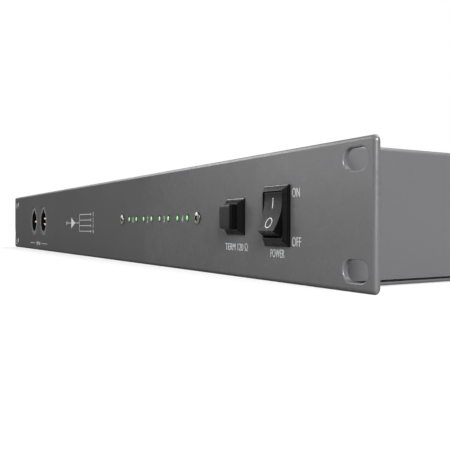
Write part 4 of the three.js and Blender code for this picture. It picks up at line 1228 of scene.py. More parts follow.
@dataclass
class FoldedCase:
    """The base tray and the cover folded over it, with the screws that hold them together."""

    finishes: Finishes
    sheet: float = 1.0
    tray_bend: float = 0.8
    cover_bend: float = 1.5
    fit: float = 0.3
    flange: float = 14.0
    jog: float = 1.2
    seam: float = 0.3
    crown: float = 0.2
    socket_hole: float = 24.0
    inlet_hole: Point = (28.9, 29.3)
    lamp_window: Point = (80.0, 7.6)
    tray_bore: float = 3.6
    cover_bore: float = 3.4
    screw: Triple = (5.6, 1.9, 6.5)
    post: float = 3.0
    post_margin: float = 5.0
    nut: float = 5.5
    nut_edge: float = 0.25

    def tray_section(self) -> Outline:
        """Draws the tray's floor and side flanges, seen from the front.

        Returns:
            The section, counter-clockwise.
        """
        half, low, bend, jog = TRAY.size.x / 2, TRAY.low.z, self.tray_bend, self.jog
        top = low + self.sheet
        outer = half - self.sheet - self.fit
        inner = outer - self.sheet
        right = [
            *arc((half - bend, low + bend), bend, -90, 0, 6),
            (half, top),
            (outer - jog, top),
            (outer - jog, top + jog),
            (outer, top + 2 * jog),
            (outer, top + self.flange),
            (inner, top + self.flange),
            (inner, top + 2 * jog),
            (inner - jog, top + jog),
            (inner - jog, top),
        ]
        return right + mirrored(right)

    def wall(self, start: float, outlines: Iterable[Outline]) -> Solid:
        """Builds the front or rear wall of the tray.

        Args:
            start: Where the wall starts along y.
            outlines: Its holes.

        Returns:
            The wall.
        """
        half = TRAY.size.x / 2 - self.sheet - self.fit
        low, high = TRAY.low.z + self.tray_bend / 2, TRAY.high.z
        outline = rectangle(2 * half, high - low, (0, (high + low) / 2))
        blank = Solid.lofted(block_levels(outline, start, start + self.sheet, 0.2, 0.2, 2))
        end = start + self.sheet + SPARE
        return blank.cut(*[Solid.block(hole, start - SPARE, end) for hole in outlines])

    def front_wall(self) -> Solid:
        """Builds the wall behind the panel.

        Returns:
            The wall with the openings for the controls.
        """
        screws = ("lamp_board_screw_1", "lamp_board_screw_2", "panel_nut_1", "panel_nut_2")
        holes = OPENINGS.switches()
        holes += [circle(OPENINGS.input, 48, spot(f"input_housing_{count}pin")) for count in (3, 5)]
        holes += [circle(OPENINGS.screw, 24, spot(node)) for node in screws]
        return self.wall(TRAY.low.y, [*holes, rectangle(*self.lamp_window, spot("lamp_board"))])

    def rear_wall(self) -> Solid:
        """Builds the wall that carries the sockets.

        Returns:
            The wall with its holes.
        """
        sockets = [f"output_{output}_socket_{count}pin" for output in range(1, 5) for count in (3, 5)]
        holes = [circle(self.socket_hole, 48, spot(node)) for node in sockets]
        inlet = rectangle(*self.inlet_hole, spot("inlet_housing"))
        return self.wall(TRAY.high.y - self.sheet, [*holes, inlet])

    def screw_bores(self, diameter: float) -> list[Solid]:
        """Builds a cutter across the sides for each cover screw.

        Args:
            diameter: The bore.

        Returns:
            The cutters.
        """
        bores = []
        for number in range(1, 5):
            place = NodePlace.of(f"cover_screw_{number}")
            outline = circle(diameter, 24, (place.middle.y, place.middle.z))
            bores.append(Solid.block(outline, place.low.x - 3, place.high.x + SPARE, Facing.SIDE))
        return bores

    def supply_posts(self) -> list[Solid]:
        """Builds the four posts under the mains supply board.

        Returns:
            The posts.
        """
        board = NodePlace.of("supply_board")
        low, margin, radius = TRAY.low.z + self.sheet - 0.2, self.post_margin, self.post
        profile = [(0, low), (radius, low), (radius, board.low.z), (0, board.low.z)]
        posts = []
        for x in (board.low.x + margin, board.high.x - margin):
            for y in (board.low.y + margin, board.high.y - margin):
                posts.append(Solid.lathed(profile, 24, Facing.HEIGHT).moved(x, y, 0))
        return posts

    def tray(self) -> None:
        """Makes the base tray."""
        floor = Solid.block(self.tray_section(), TRAY.low.y, TRAY.high.y)
        floor = floor.cut(*self.screw_bores(self.tray_bore))
        solids = [floor, self.front_wall(), self.rear_wall(), *self.supply_posts()]
        mesh = made_mesh("folded_tray", (solids, self.finishes.case))
        placed("folded_tray", mesh, Vector(), ROOT, ["base_tray"])

    def cover(self) -> None:
        """Makes the cover with its two folds."""
        half, high, low = COVER.size.x / 2, COVER.high.z + self.crown, COVER.low.z + self.seam
        bend, inner = self.cover_bend, self.cover_bend - self.sheet
        section = [
            (half - self.sheet, low),
            (half, low),
            *arc((half - bend, high - bend), bend, 0, 90, 8),
            *arc((bend - half, high - bend), bend, 90, 180, 8),
            (-half, low),
            (self.sheet - half, low),
            *arc((bend - half, high - bend), inner, 180, 90, 6),
            *arc((half - bend, high - bend), inner, 90, 0, 6),
        ]
        levels = block_levels(section, COVER.low.y, COVER.high.y, 0.2, 0.2, 2)
        folded = Solid.lofted(levels).cut(*self.screw_bores(self.cover_bore))
        mesh = made_mesh("folded_cover", ([folded], self.finishes.case))
        start = high - bend
        # The upward-facing faces of the top folds take the paler fold coat, a painted highlight.
        paint_highlight(mesh, self.finishes.fold, lambda middle, normal: middle.z > start and 0.1 < normal.z < 0.97)
        placed("folded_cover", mesh, Vector(), ROOT, ["top_cover"])

    def screws(self) -> None:
        """Makes the four cover screws, two in each side."""
        solid = CrossScrew(*self.screw).solid()
        for side, numbers in ((-1, (1, 2)), (1, (3, 4))):
            turned = solid.turned(90 * side, "Z")
            mesh = made_mesh(f"cover_screw_side_{side + 1}", ([turned], self.finishes.zinc))
            for number in numbers:
                node = f"cover_screw_{number}"
                middle = NodePlace.of(node).middle
                at = Vector((side * COVER.size.x / 2, middle.y, middle.z))
                placed(f"side_screw_{number}", mesh, at, ROOT, [node])

    def nuts(self) -> None:
        """Makes the two nuts that hold the panel to the tray."""
        height, corner = NodePlace.of("panel_nut_1").size.y, self.nut / math.cos(math.pi / 6)
        blank = Solid.lofted(block_levels(circle(corner, 6), 0, height, self.nut_edge, self.nut_edge, 2))
        nut = blank.cut(Solid.block(circle(OPENINGS.screw, 24), -SPARE, height + SPARE))
        mesh = made_mesh("hexagon_nut", ([nut], self.finishes.zinc))
        for number in (1, 2):
            node = f"panel_nut_{number}"
            place = NodePlace.of(node)
            at = Vector((place.middle.x, place.low.y, place.middle.z))
            placed(f"stud_nut_{number}", mesh, at, ROOT, [node])

    def build(self) -> None:
        """Makes the case."""
        self.tray()
        self.cover()
        self.screws()
        self.nuts()


def terminals(depth: float, length: float, spacing: float) -> list[Solid]:
    """Builds a switch's two flat connection blades, with chamfered tips.

    Args:
        depth: Depth of the body that they leave.
        length: How far they stand out of it.
        spacing: Between their middles.

    Returns:
        The blades.
    """
    width, thickness, chamfer = 4.8, 0.8, 0.9
    blades = []
    for side in (-1, 1):
        middle = (0, side * spacing / 2)
        full = rectangle(width, thickness, middle)
        tip = rectangle(width * 0.7, thickness * 0.5, middle)
        end = depth + length
        blades.append(Solid.lofted([(full, depth - 0.3), (full, end - chamfer), (tip, end)]))
    return blades


@dataclass
class MainsRocker:
    """The mains rocker switch: a snap-in frame and a dished paddle with the marks I and O."""

    finishes: Finishes
    frame_size: Point = (15.0, 20.4)
    rim_size: Point = (12.1, 16.5)
    frame_rise: float = 2.3
    frame_lip: float = 0.9
    lip_edge: float = 0.34
    corner: float = 0.6
    body_size: Point = (13.0, 19.0)
    body_depth: float = 15.0
    barb_start: float = 3.3
    barb_length: float = 5.0
    barb_rise: float = 0.9
    mouth_size: Point = (11.6, 15.9)
    mouth_front: float = 15.4
    mouth_depth: float = 8.4
    mouth_shift: float = 0.5
    fit: float = 0.3
    tilt: float = 13.0
    pivot_depth: float = 0.5
    pivot: float = 2.2
    pivot_length: float = 0.6
    reach: float = 4.1
    half: float = 6.65
    dish: float = 1.05
    sweep: float = 7.8
    draft: float = 0.14
    blade_spacing: float = 9.0
    blade_length: float = 8.0
    on_mark: Triple = (0.32, 3.4, 3.8)
    off_mark: tuple[Point, Point] = ((3.8, 3.4), (3.26, 2.9))
    off_height: float = -2.8
    mark_proud: float = 0.03

    def housing(self) -> None:
        """Makes the frame, its body behind the panel and the two connection blades."""
        rise, lip = self.frame_rise, self.frame_lip
        rim = rounded(*self.rim_size, self.corner)
        edge = rounded(*self.frame_size, self.corner)
        levels = stepped(rim, -rise, ((-0.1, 0), (0.06, 0.05), (0.2, 0.2)))
        levels += stepped(edge, -lip, ((-0.62, -0.02), (-0.3, 0), (-0.12, 0.06), (-0.03, 0.16)))
        bezel = Solid.lofted([*levels, (edge, self.lip_edge - lip), (edge, 0)])
        body = Solid.lofted(block_levels(rectangle(*self.body_size), -0.3, self.body_depth, 0, 0.4, 3))
        middle = (0, self.mouth_shift)
        mouth = rounded(*self.mouth_size, self.corner, 6, middle)
        front = rounded(self.mouth_size[0], self.mouth_front, self.corner, 6, middle)
        well = stepped(front, -rise, ((0.1, -SPARE), (0.1, 0), (0, 0.12), (0, 0.6)))
        well += [(mouth, 1.6 - rise), (mouth, self.mouth_depth)]
        pin = circle(self.pivot + 2 * self.fit, 24, (self.pivot_depth, self.mouth_shift))
        reach = self.mouth_size[0] / 2 + self.pivot_length
        pocket = Solid.block(pin, -reach, reach, Facing.SIDE)
        shell = bezel.joined(body).cut(Solid.lofted(well), pocket)
        blades = terminals(self.body_depth, self.blade_length, self.blade_spacing)
        solids = [shell, *self.barbs()]
        mesh = made_mesh("rocker_frame", (solids, self.finishes.switch), (blades, self.finishes.nickel))
        end = self.lip_edge - lip
        # The lip faces that face upwards take the paler rim plastic, a painted highlight.
        paint_highlight(mesh, self.finishes.rim, lambda middle, normal: -lip < middle.y < end and normal.z > 0.3)
        at = front_middle("rocker_housing")
        placed("rocker_frame", mesh, at, ROOT, ["rocker_housing"])

    def barbs(self) -> list[Solid]:
        """Builds the two snaps that hold the body behind the wall.

        Returns:
            The snaps at its left and its right side.
        """
        half, start = self.body_size[0] / 2 - 0.05, self.barb_start
        end = start + self.barb_length
        wedge = [(half, start), (half + self.barb_rise, start), (half + 0.05, end), (half, end)]
        return [Solid.block(outline, -3.5, 3.5, Facing.HEIGHT) for outline in (mirrored(wedge), wedge)]

    def side_view(self) -> Outline:
        """Draws the paddle from the side, its face towards -Y, level between its two positions.

        Returns:
            Depth and height about the pivot, counter-clockwise.
        """
        steps = 24
        face: Outline = []
        for step in range(steps + 1):
            share = step / steps
            face.append((-self.reach + 4 * self.dish * share * (1 - share), self.half * (1 - 2 * share)))
        tip = math.degrees(math.atan2(self.half, self.reach))
        heel = arc((0, 0), self.sweep, 180 + tip, 268, 8)
        below = [*heel[1:], (2.0, -6.8), (5.2, -3.2)]
        above = [(depth, -height) for depth, height in reversed(below)]
        return softened([*face, *below, *above], 0.25)

    def paddle_solid(self) -> Solid:
        """Builds the paddle with its pivot pins, tilted as it rests.

        Returns:
            The paddle about its pivot.
        """
        half = self.mouth_size[0] / 2 - self.fit
        paddle = Solid.lofted(block_levels(self.side_view(), -half, half, 0.1, 0.1, 3), Facing.SIDE)
        for vert in paddle.mesh.verts:
            down = max(-vert.co.z / self.half, 0)
            out = max(-vert.co.y / self.reach, 0)
            vert.co.x *= 1 - self.draft * down * out
        pin, end = circle(self.pivot, 24), half + self.pivot_length
        pins = [Solid.block(pin, side * (half - 0.5), side * end, Facing.SIDE) for side in (-1, 1)]
        return paddle.beside(*pins).turned(-self.tilt, "X")

    def mark(self, outlines: Sequence[Outline], surface: Solid) -> Solid:
        """Lays a flat printed mark on the paddle's dished face.

        Args:
            outlines: The outer outline and, for a ring, the inner one, in x and z.
            surface: The paddle.

        Returns:
            The mark as a thin closed skin.
        """
        tree = BVHTree.FromBMesh(surface.mesh)
        solid = Solid()
        proud = Vector((0, self.mark_proud, 0))
        rows = []
        for outline in outlines:
            hits = [tree.ray_cast(Vector((x, -20, z)), Vector((0, 1, 0)))[0] for x, z in outline]
            rows.append([[solid.mesh.verts.new(hit + lift) for hit in hits] for lift in (-proud, proud)])
        outer, inner = rows[0], rows[-1]
        bands = [(outer[0], outer[1])]
        if len(rows) > 1:
            bands += [(inner[0], inner[1]), (outer[0], inner[0]), (outer[1], inner[1])]
        count = len(outlines[0])
        for index in range(count):
            for near, far in bands:
                solid.mesh.faces.new((near[index - 1], near[index], far[index], far[index - 1]))
        if len(rows) == 1:
            for index in range(count // 2 - 1):
                across = count - 1 - index
                for ring in outer:
                    solid.mesh.faces.new((ring[index], ring[index + 1], ring[across - 1], ring[across]))
        return solid.tidied()

    def bar(self, width: float, tall: float, z: float, rungs: int = 10) -> Outline:
        """Draws the mark I about a height, as a strip with many rungs that can follow the face."""
        right = [(width / 2, z - tall / 2 + tall * rung / rungs) for rung in range(rungs + 1)]
        return right + mirrored(right)

    def build(self) -> None:
        """Makes the switch."""
        self.housing()
        paddle = self.paddle_solid()
        rings = []
        for wide, tall in self.off_mark:
            rings.append([(x * wide, z * tall + self.off_height) for x, z in circle(1.0, 40)])
        marks = [self.mark([self.bar(*self.on_mark)], paddle), self.mark(rings, paddle)]
        mesh = made_mesh("rocker_key", ([paddle], self.finishes.switch), (marks, self.finishes.mark_ink))
        at = front_middle("rocker_housing") + Vector((0, self.pivot_depth, self.mouth_shift))
        placed("rocker_key", mesh, at, "rocker", ["rocker_paddle"])


@dataclass
class PushButton:
    """The square push button that switches the line's end resistor in."""

    finishes: Finishes
    frame_size: float = 13.5
    rim: float = 10.1
    frame_rise: float = 2.4
    lip: float = 0.5
    lip_edge: float = 0.3
    body: float = 12.0
    body_depth: float = 18.0
    blade_spacing: float = 6.0
    blade_length: float = 4.0
    mouth: float = 9.2
    shoulder: float = 3.0
    well: float = 10.4
    well_depth: float = 12.0
    guide: float = 3.8
    guide_depth: float = 17.0
    cap: float = 8.9
    cap_round: float = 1.2
    cap_edge: float = 0.7
    cap_rise: float = 5.0
    flange: float = 9.6
    flange_start: float = 3.4
    flange_thickness: float = 1.0
    stem: float = 3.2
    stem_length: float = 9.0

    def housing(self) -> None:
        """Makes the frame and the body behind the panel."""
        rise, lip = self.frame_rise, self.lip
        rim = rounded(self.rim, self.rim, lip)
        edge = rounded(self.frame_size, self.frame_size, lip)
        levels = stepped(rim, -rise, ((-0.3, 0), (-0.1, 0.06), (0, 0.25)))
        levels += stepped(edge, -lip, ((-0.55, -0.02), (-0.28, 0), (-0.1, 0.06), (-0.02, 0.16)))
        bezel = Solid.lofted([*levels, (edge, self.lip_edge - lip), (edge, 0)])
        body = Solid.lofted(block_levels(rectangle(self.body, self.body), -0.3, self.body_depth, 0, 0.4, 3))
        mouth = rounded(self.mouth, self.mouth, self.cap_round)
        shell = bezel.joined(body).cut(
            Solid.block(mouth, -rise - SPARE, self.shoulder + 0.5),
            Solid.block(rectangle(self.well, self.well), self.shoulder, self.well_depth),
            Solid.block(circle(self.guide, 24), self.shoulder + 0.2, self.guide_depth),
        )
        blades = terminals(self.body_depth, self.blade_length, self.blade_spacing)
        mesh = made_mesh("button_frame", ([shell], self.finishes.switch), (blades, self.finishes.nickel))
        end = self.lip_edge - lip
        # The lip faces that face upwards take the paler rim plastic, a painted highlight.
        paint_highlight(mesh, self.finishes.rim, lambda middle, normal: -lip < middle.y < end and normal.z > 0.3)
        at = front_middle("button_housing")
        placed("button_frame", mesh, at, ROOT, ["button_housing"])

    def build(self) -> None:
        """Makes the frame, and the cap with its softly crowned face, its flange and its stem."""
        self.housing()
        full = rounded(self.cap, self.cap, self.cap_round, 8)
        face, soft, start = -self.cap_rise, self.cap_edge, self.flange_start
        levels = [(grown(full, -1.1), face), (grown(full, -soft), face + 0.03)]
        levels += stepped(full, face + 0.03, [(-inset, back) for inset, back in round_over(soft, 6)[1:]])
        block = Solid.lofted([*levels, (full, start)])
        flange_end = start + self.flange_thickness
        flange = Solid.block(rectangle(self.flange, self.flange), start, flange_end)
        radius, edge, end = self.stem / 2, 0.3, flange_end + self.stem_length
        side = [(radius, flange_end), (radius, end - edge), (radius - edge, end)]
        stem = Solid.lathed([(0, flange_end), *side, (0, end)], 24)
        mesh = made_mesh("push_cap", ([block, flange, stem], self.finishes.switch))
        placed("push_cap", mesh, front_middle("button_housing"), "button", ["button_cap"])


@dataclass
class LampRow:
    """Eight lit lamps in the panel, and the two screws that hold their board."""

    finishes: Finishes
    lens: float = 2.4
    lens_rise: float = 0.3
    rim: float = 3.8
    rim_start: float = 3.1
    rim_thickness: float = 1.0
    rim_edge: float = 0.1
    leg: float = 0.5
    leg_pitch: float = 2.54
    screw: Triple = (5.0, 1.0, 11.0)
    screw_turns: Point = (20, 52)

    def lamp_mesh(self) -> bpy.types.Mesh:
        """Makes the mesh that all lamps share.

        Returns:
            The lamp with its lens and two legs.
        """
        radius, start, rim, edge = self.lens / 2, self.rim_start, self.rim / 2, self.rim_edge
        turns = quarter_turns(8)
        dome = [(radius * math.sin(t), self.lens_rise * (0.15 - math.cos(t) * 1.15)) for t in turns]
        back = start + self.rim_thickness
        collar = [(radius, start), (rim - edge, start), (rim, start + edge), (rim, back), (0, back)]
        lens = Solid.lathed([*dome, *collar], 32)
        end = NodePlace.of("lamp_1").high.y - FRONT_Y
        places = [(side * self.leg_pitch / 2, 0) for side in (-1, 1)]
        legs = [Solid.block(rectangle(self.leg, self.leg, place), back - 0.2, end) for place in places]
        return made_mesh("lamp", ([lens], self.finishes.lamp), (legs, self.finishes.zinc))

    def build(self) -> None:
        """Makes the lamps and the screws."""
        lamp = self.lamp_mesh()
        for number in range(1, 9):
            node = f"lamp_{number}"
            placed(f"signal_lamp_{number}", lamp, front_middle(node), ROOT, [node])
        solid = CrossScrew(*self.screw).solid()
        for number, turn in enumerate(self.screw_turns, 1):
            node, name = f"lamp_board_screw_{number}", f"panel_screw_{number}"
            mesh = made_mesh(name, ([solid.turned(turn, "Y")], self.finishes.chrome))
            placed(name, mesh, front_middle(node), ROOT, [node])


class Contacts(Enum):
    """A data connector's contacts: how many, on which circle, and how far apart."""

    THREE = (3, 8.0, 90.0)
    FIVE = (5, 8.8, 60.0)

    @property
    def count(self) -> int:
        """The number of contacts."""
        return self.value[0]

    def places(self) -> list[Point]:
        """Places the contacts on their circle, with the gap at the top.

        Returns:
            x and z of each contact.
        """
        count, diameter, step = self.value
        turns = [math.radians((index - (count - 1) / 2) * step - 90) for index in range(count)]
        return around((0, 0), diameter / 2, turns)


@dataclass
class DataInput:
    """A round data input that looks through the panel: a shell, and an insert with its pins."""

    finishes: Finishes
    contacts: Contacts
    barrel: float = 22.0
    recess: float = 0.3
    depth: float = 22.0
    bore: float = 15.0
    lip_round: float = 0.25
    lip_turns: tuple[float, ...] = (0, 0.5, 1.0, QUARTER)
    floor: float = 16.0
    insert: float = 17.4
    insert_thickness: float = 3.0
    plate: float = 27.0
    plate_corner: float = 3.0
    plate_start: float = 3.0
    plate_thickness: float = 2.2
    pin: float = 2.4
    pin_tail: float = 0.6
    pin_setback: float = 1.9
    notch_width: float = 4.4
    notch_rise: float = 1.3
    notch_depth: float = 7.0
    key_width: float = 2.0
    key_rise: float = 0.9
    key_setback: float = 4.0

    def shell(self) -> None:
        """Makes the shell with its latch notch, key and fixing plate."""
        outer, bore, rear = self.barrel / 2, self.bore / 2, self.insert / 2 + 0.15
        face, edge = self.recess, self.lip_round
        lip = [(bore + edge * (1 - math.sin(t)), face + edge * (1 - math.cos(t))) for t in self.lip_turns]
        inside = [(bore, self.floor), (rear, self.floor), (rear, self.depth)]
        outside = [(outer, self.depth), (outer, face + 0.2), (outer - 0.06, face + 0.06), (outer - 0.2, face)]
        barrel = Solid.lathed([*lip, *inside, *outside], 72)
        back = self.plate_start + self.plate_thickness
        outline = rounded(self.plate, self.plate, self.plate_corner)
        plate = Solid.lofted(block_levels(outline, self.plate_start, back, 0.2, 0.2, 2))
        plate = plate.cut(Solid.block(circle(outer + bore, 72), self.plate_start - SPARE, back + SPARE))
        tall = self.notch_rise + SPARE
        notch = rounded(self.notch_width, tall, 0.3, 3, (0, bore + self.notch_rise - tall / 2))
        key = rounded(self.key_width, 2 * self.key_rise, 0.3, 3, (0, -bore))
        rib = Solid.lofted(block_levels(key, self.key_setback, self.floor - 0.1, 0.2, 0, 3))
        shell = barrel.cut(Solid.block(notch, face - SPARE, self.notch_depth)).joined(plate, rib)
        name, node = (f"input_{part}_{self.contacts.count}pin" for part in ("shell", "housing"))
        mesh = made_mesh(name, ([shell], self.finishes.socket))
        front = face + 0.05
        # The faces that look forward take the paler face plastic, a painted highlight.
        paint_highlight(mesh, self.finishes.socket_face_highlight, lambda middle, normal: middle.y < front and normal.y < -0.5)
        placed(name, mesh, front_middle(node), ROOT, [node])

    def pins(self) -> None:
        """Makes the insert and its gold pins."""
        radius, tail, end = self.pin / 2, self.pin_tail, self.floor + self.insert_thickness
        disc = Solid.lofted(block_levels(circle(self.insert, 64), self.floor, end, 0.3, 0.3, 3))
        turns = quarter_turns(6)
        tip = [(radius * math.sin(t), self.pin_setback + radius * (1 - math.cos(t))) for t in turns]
        side = [(radius, self.floor), (radius, self.floor + 0.4), (tail, end), (tail, self.depth)]
        pin = Solid.lathed([*tip, *side, (0, self.depth)], 32)
        pins = [pin.moved(x, 0, z) for x, z in self.contacts.places()]
        count = self.contacts.count
        mesh = made_mesh(f"input_pins_{count}pin", ([disc], self.finishes.insert), (pins, self.finishes.gold))
        at = front_middle(f"input_housing_{count}pin")
        placed(f"input_pins_{count}pin", mesh, at, ROOT, [f"input_contacts_{count}pin"])

    def build(self) -> None:
        """Makes the input."""
        self.shell()
        self.pins()


@dataclass
class DataOutput:
    """A flanged output socket with its release tab, made once and set at each output."""

    finishes: Finishes
    contacts: Contacts
    flange: Point = (26.0, 31.0)
    flange_thickness: float = 2.4
    flange_corner: float = 2.4
    flange_edge: float = 0.5
    barrel: float = 23.2
    depth: float = 22.0
    mouth: float = 19.4
    core: float = 15.8
    groove_depth: float = 12.0
    core_setback: float = 0.6
    key: Point = (2.6, 1.6)
    contact_hole: float = 3.0
    contact_depth: float = 10.0
    sleeve: Point = (0.95, 1.4)
    sleeve_setback: float = 1.2
    screw_place: Point = (9.5, 12.0)
    screw_turns: Point = (15, 70)
    tab_width: float = 9.4
    tab_low: float = 10.5
    tab_high: float = 14.9
    tab_thickness: float = 1.2
    tab_proud: float = 0.5
    groove: Point = (0.35, 0.18)
    groove_pitch: float = 0.9
    pivot_drop: float = 0.7
    pivot: float = 0.8
    pivot_length: float = 0.5
    pocket_depth: float = 1.8
    hook_width: float = 3.0
    hook_thickness: float = 0.7
    hook_reach: float = 5.0
    hook_drop: float = 0.8
    hook_tip: float = 1.2
    fit: float = 0.3
    slot_gap: float = 0.6

    @property
    def pivot_place(self) -> Point:
        """Depth and height of the tab's hinge."""
        depth = self.flange_thickness + self.tab_proud - self.tab_thickness / 2
        return depth, self.tab_high - self.pivot_drop

    def cutters(self) -> list[Solid]:
        """Builds the cutters for the groove, the contacts and the tab.

        Returns:
            The cutters.
        """
        face, mouth, core = self.flange_thickness, self.mouth / 2, self.core / 2
        floor, core_face = face - self.groove_depth, face - self.core_setback
        crest = [(0, core_face), (core - 0.35, core_face), (core - 0.1, core_face - 0.1)]
        groove = [(core, core_face - 0.35), (core, floor), (mouth, floor), (mouth, face - 0.5)]
        rim = [(mouth + 0.15, face - 0.15), (mouth + 0.5, face), (mouth + 0.5, face + SPARE)]
        cutters = [Solid.lathed([*crest, *groove, *rim, (0, face + SPARE)], 72)]
        hole, wide, start, end = self.contact_hole / 2, 0.3, face - self.contact_depth, face + 0.5
        bore = [(0, start), (hole, start), (hole, core_face - wide), (hole + wide, core_face)]
        bore += [(hole + wide, end), (0, end)]
        cutters += [Solid.lathed(bore, 24).moved(x, 0, z) for x, z in self.contacts.places()]
        tall, middle = self.tab_high - self.tab_low + 2 * self.fit, (self.tab_high + self.tab_low) / 2
        recess = rounded(self.tab_width + 2 * self.fit, tall, 0.4, 3, (0, middle))
        cutters.append(Solid.block(recess, face - self.pocket_depth, face + SPARE))
        pocket = circle(self.pivot + 2 * self.fit, 16, self.pivot_place)
        reach = self.tab_width / 2 + self.fit + self.pivot_length
        cutters.append(Solid.block(pocket, -reach, reach, Facing.SIDE))
        slot_high = self.tab_low + self.hook_thickness + 2 * self.slot_gap
        slot_low = self.tab_low - self.hook_drop - self.slot_gap
        wide = self.hook_width + 2 * self.slot_gap
        slot = rectangle(wide, slot_high - slot_low, (0, (slot_high + slot_low) / 2))
        cutters.append(Solid.block(slot, -self.hook_reach - self.slot_gap, face))
        cutters.append(Solid.block(rectangle(*self.key, (0, -core + 0.3)), floor, face))
        return cutters

    def socket_mesh(self) -> bpy.types.Mesh:
        """Makes the mesh of the socket with its screws and contacts.

        Returns:
            The mesh, its seat on the case at y = 0.
        """
        face = self.flange_thickness
        outline = rounded(*self.flange, self.flange_corner, 8)
        flange = Solid.lofted(block_levels(outline, 0, face, 0.1, self.flange_edge, 5))
        barrel = Solid.block(circle(self.barrel, 64), -self.depth, face / 2)
        shell = flange.joined(barrel).cut(*self.cutters())
        head = flange_screw()
        x, z = self.screw_place
        left, right = (head.turned(turn, "Y") for turn in self.screw_turns)
        screws = [left.moved(-x, face, z), right.moved(x, face, -z)]
        start, end = face - self.contact_depth, face - self.core_setback - self.sleeve_setback
        inner, outer = self.sleeve
        sleeve = Solid.lathed([(inner, start), (outer, start), (outer, end), (inner, end)], 20)
        sleeves = [sleeve.moved(x, 0, z) for x, z in self.contacts.places()]
        return made_mesh(
            f"output_socket_{self.contacts.count}pin",
            ([shell], self.finishes.socket),
            (screws, self.finishes.nickel),
            (sleeves, self.finishes.gold),
        )

    def tab_mesh(self) -> bpy.types.Mesh:
        """Makes the mesh of the release tab with its hook and hinge pin.

        Returns:
            The mesh in the socket's own place.
        """
        back = self.flange_thickness + self.tab_proud
        front = back - self.tab_thickness
        low, high, tip = self.tab_low, self.tab_high, self.hook_tip - self.hook_reach
        middle = (high + low) / 2
        outline = rounded(self.tab_width, high - low, 0.5, 4, (0, middle))
        plate = Solid.lofted(block_levels(outline, front, back, 0.1, 0.25, 4))
        wide, deep = self.groove
        heights = [middle + rise for rise in (-self.groove_pitch, 0, self.groove_pitch)]
        grooves = [rounded(self.tab_width - 3, wide, 0.15, 3, (0, height)) for height in heights]
        plate = plate.cut(*[Solid.block(groove, back - deep, back + SPARE) for groove in grooves])
        hook = [
            (-self.hook_reach, low - self.hook_drop),
            (tip, low - self.hook_drop),
            (tip, low),
            (front + 0.1, low),
            (front + 0.1, low + self.hook_thickness),
            (-self.hook_reach, low + self.hook_thickness),
        ]
        half = self.hook_width / 2
        arm = Solid.lofted(block_levels(softened(hook, 0.15, 2), -half, half, 0.1, 0.1, 2), Facing.SIDE)
        reach = self.tab_width / 2 + self.pivot_length
        pin = Solid.block(circle(self.pivot, 16, self.pivot_place), -reach, reach, Facing.SIDE)
        return made_mesh(f"release_tab_{self.contacts.count}pin", ([plate, arm, pin], self.finishes.nickel))

    def build(self) -> None:
        """Sets a socket and its tab at each of the four outputs."""
        socket, tab = self.socket_mesh(), self.tab_mesh()
        count = self.contacts.count
        for output in range(1, 5):
            node = f"output_{output}_socket_{count}pin"
            body = f"output_{output}_release_{count}pin"
            at = rear_middle(node)
            placed(f"socket_{output}_{count}pin", socket, at, ROOT, [node])
            placed(f"release_{output}_{count}pin", tab, at, body, [body])


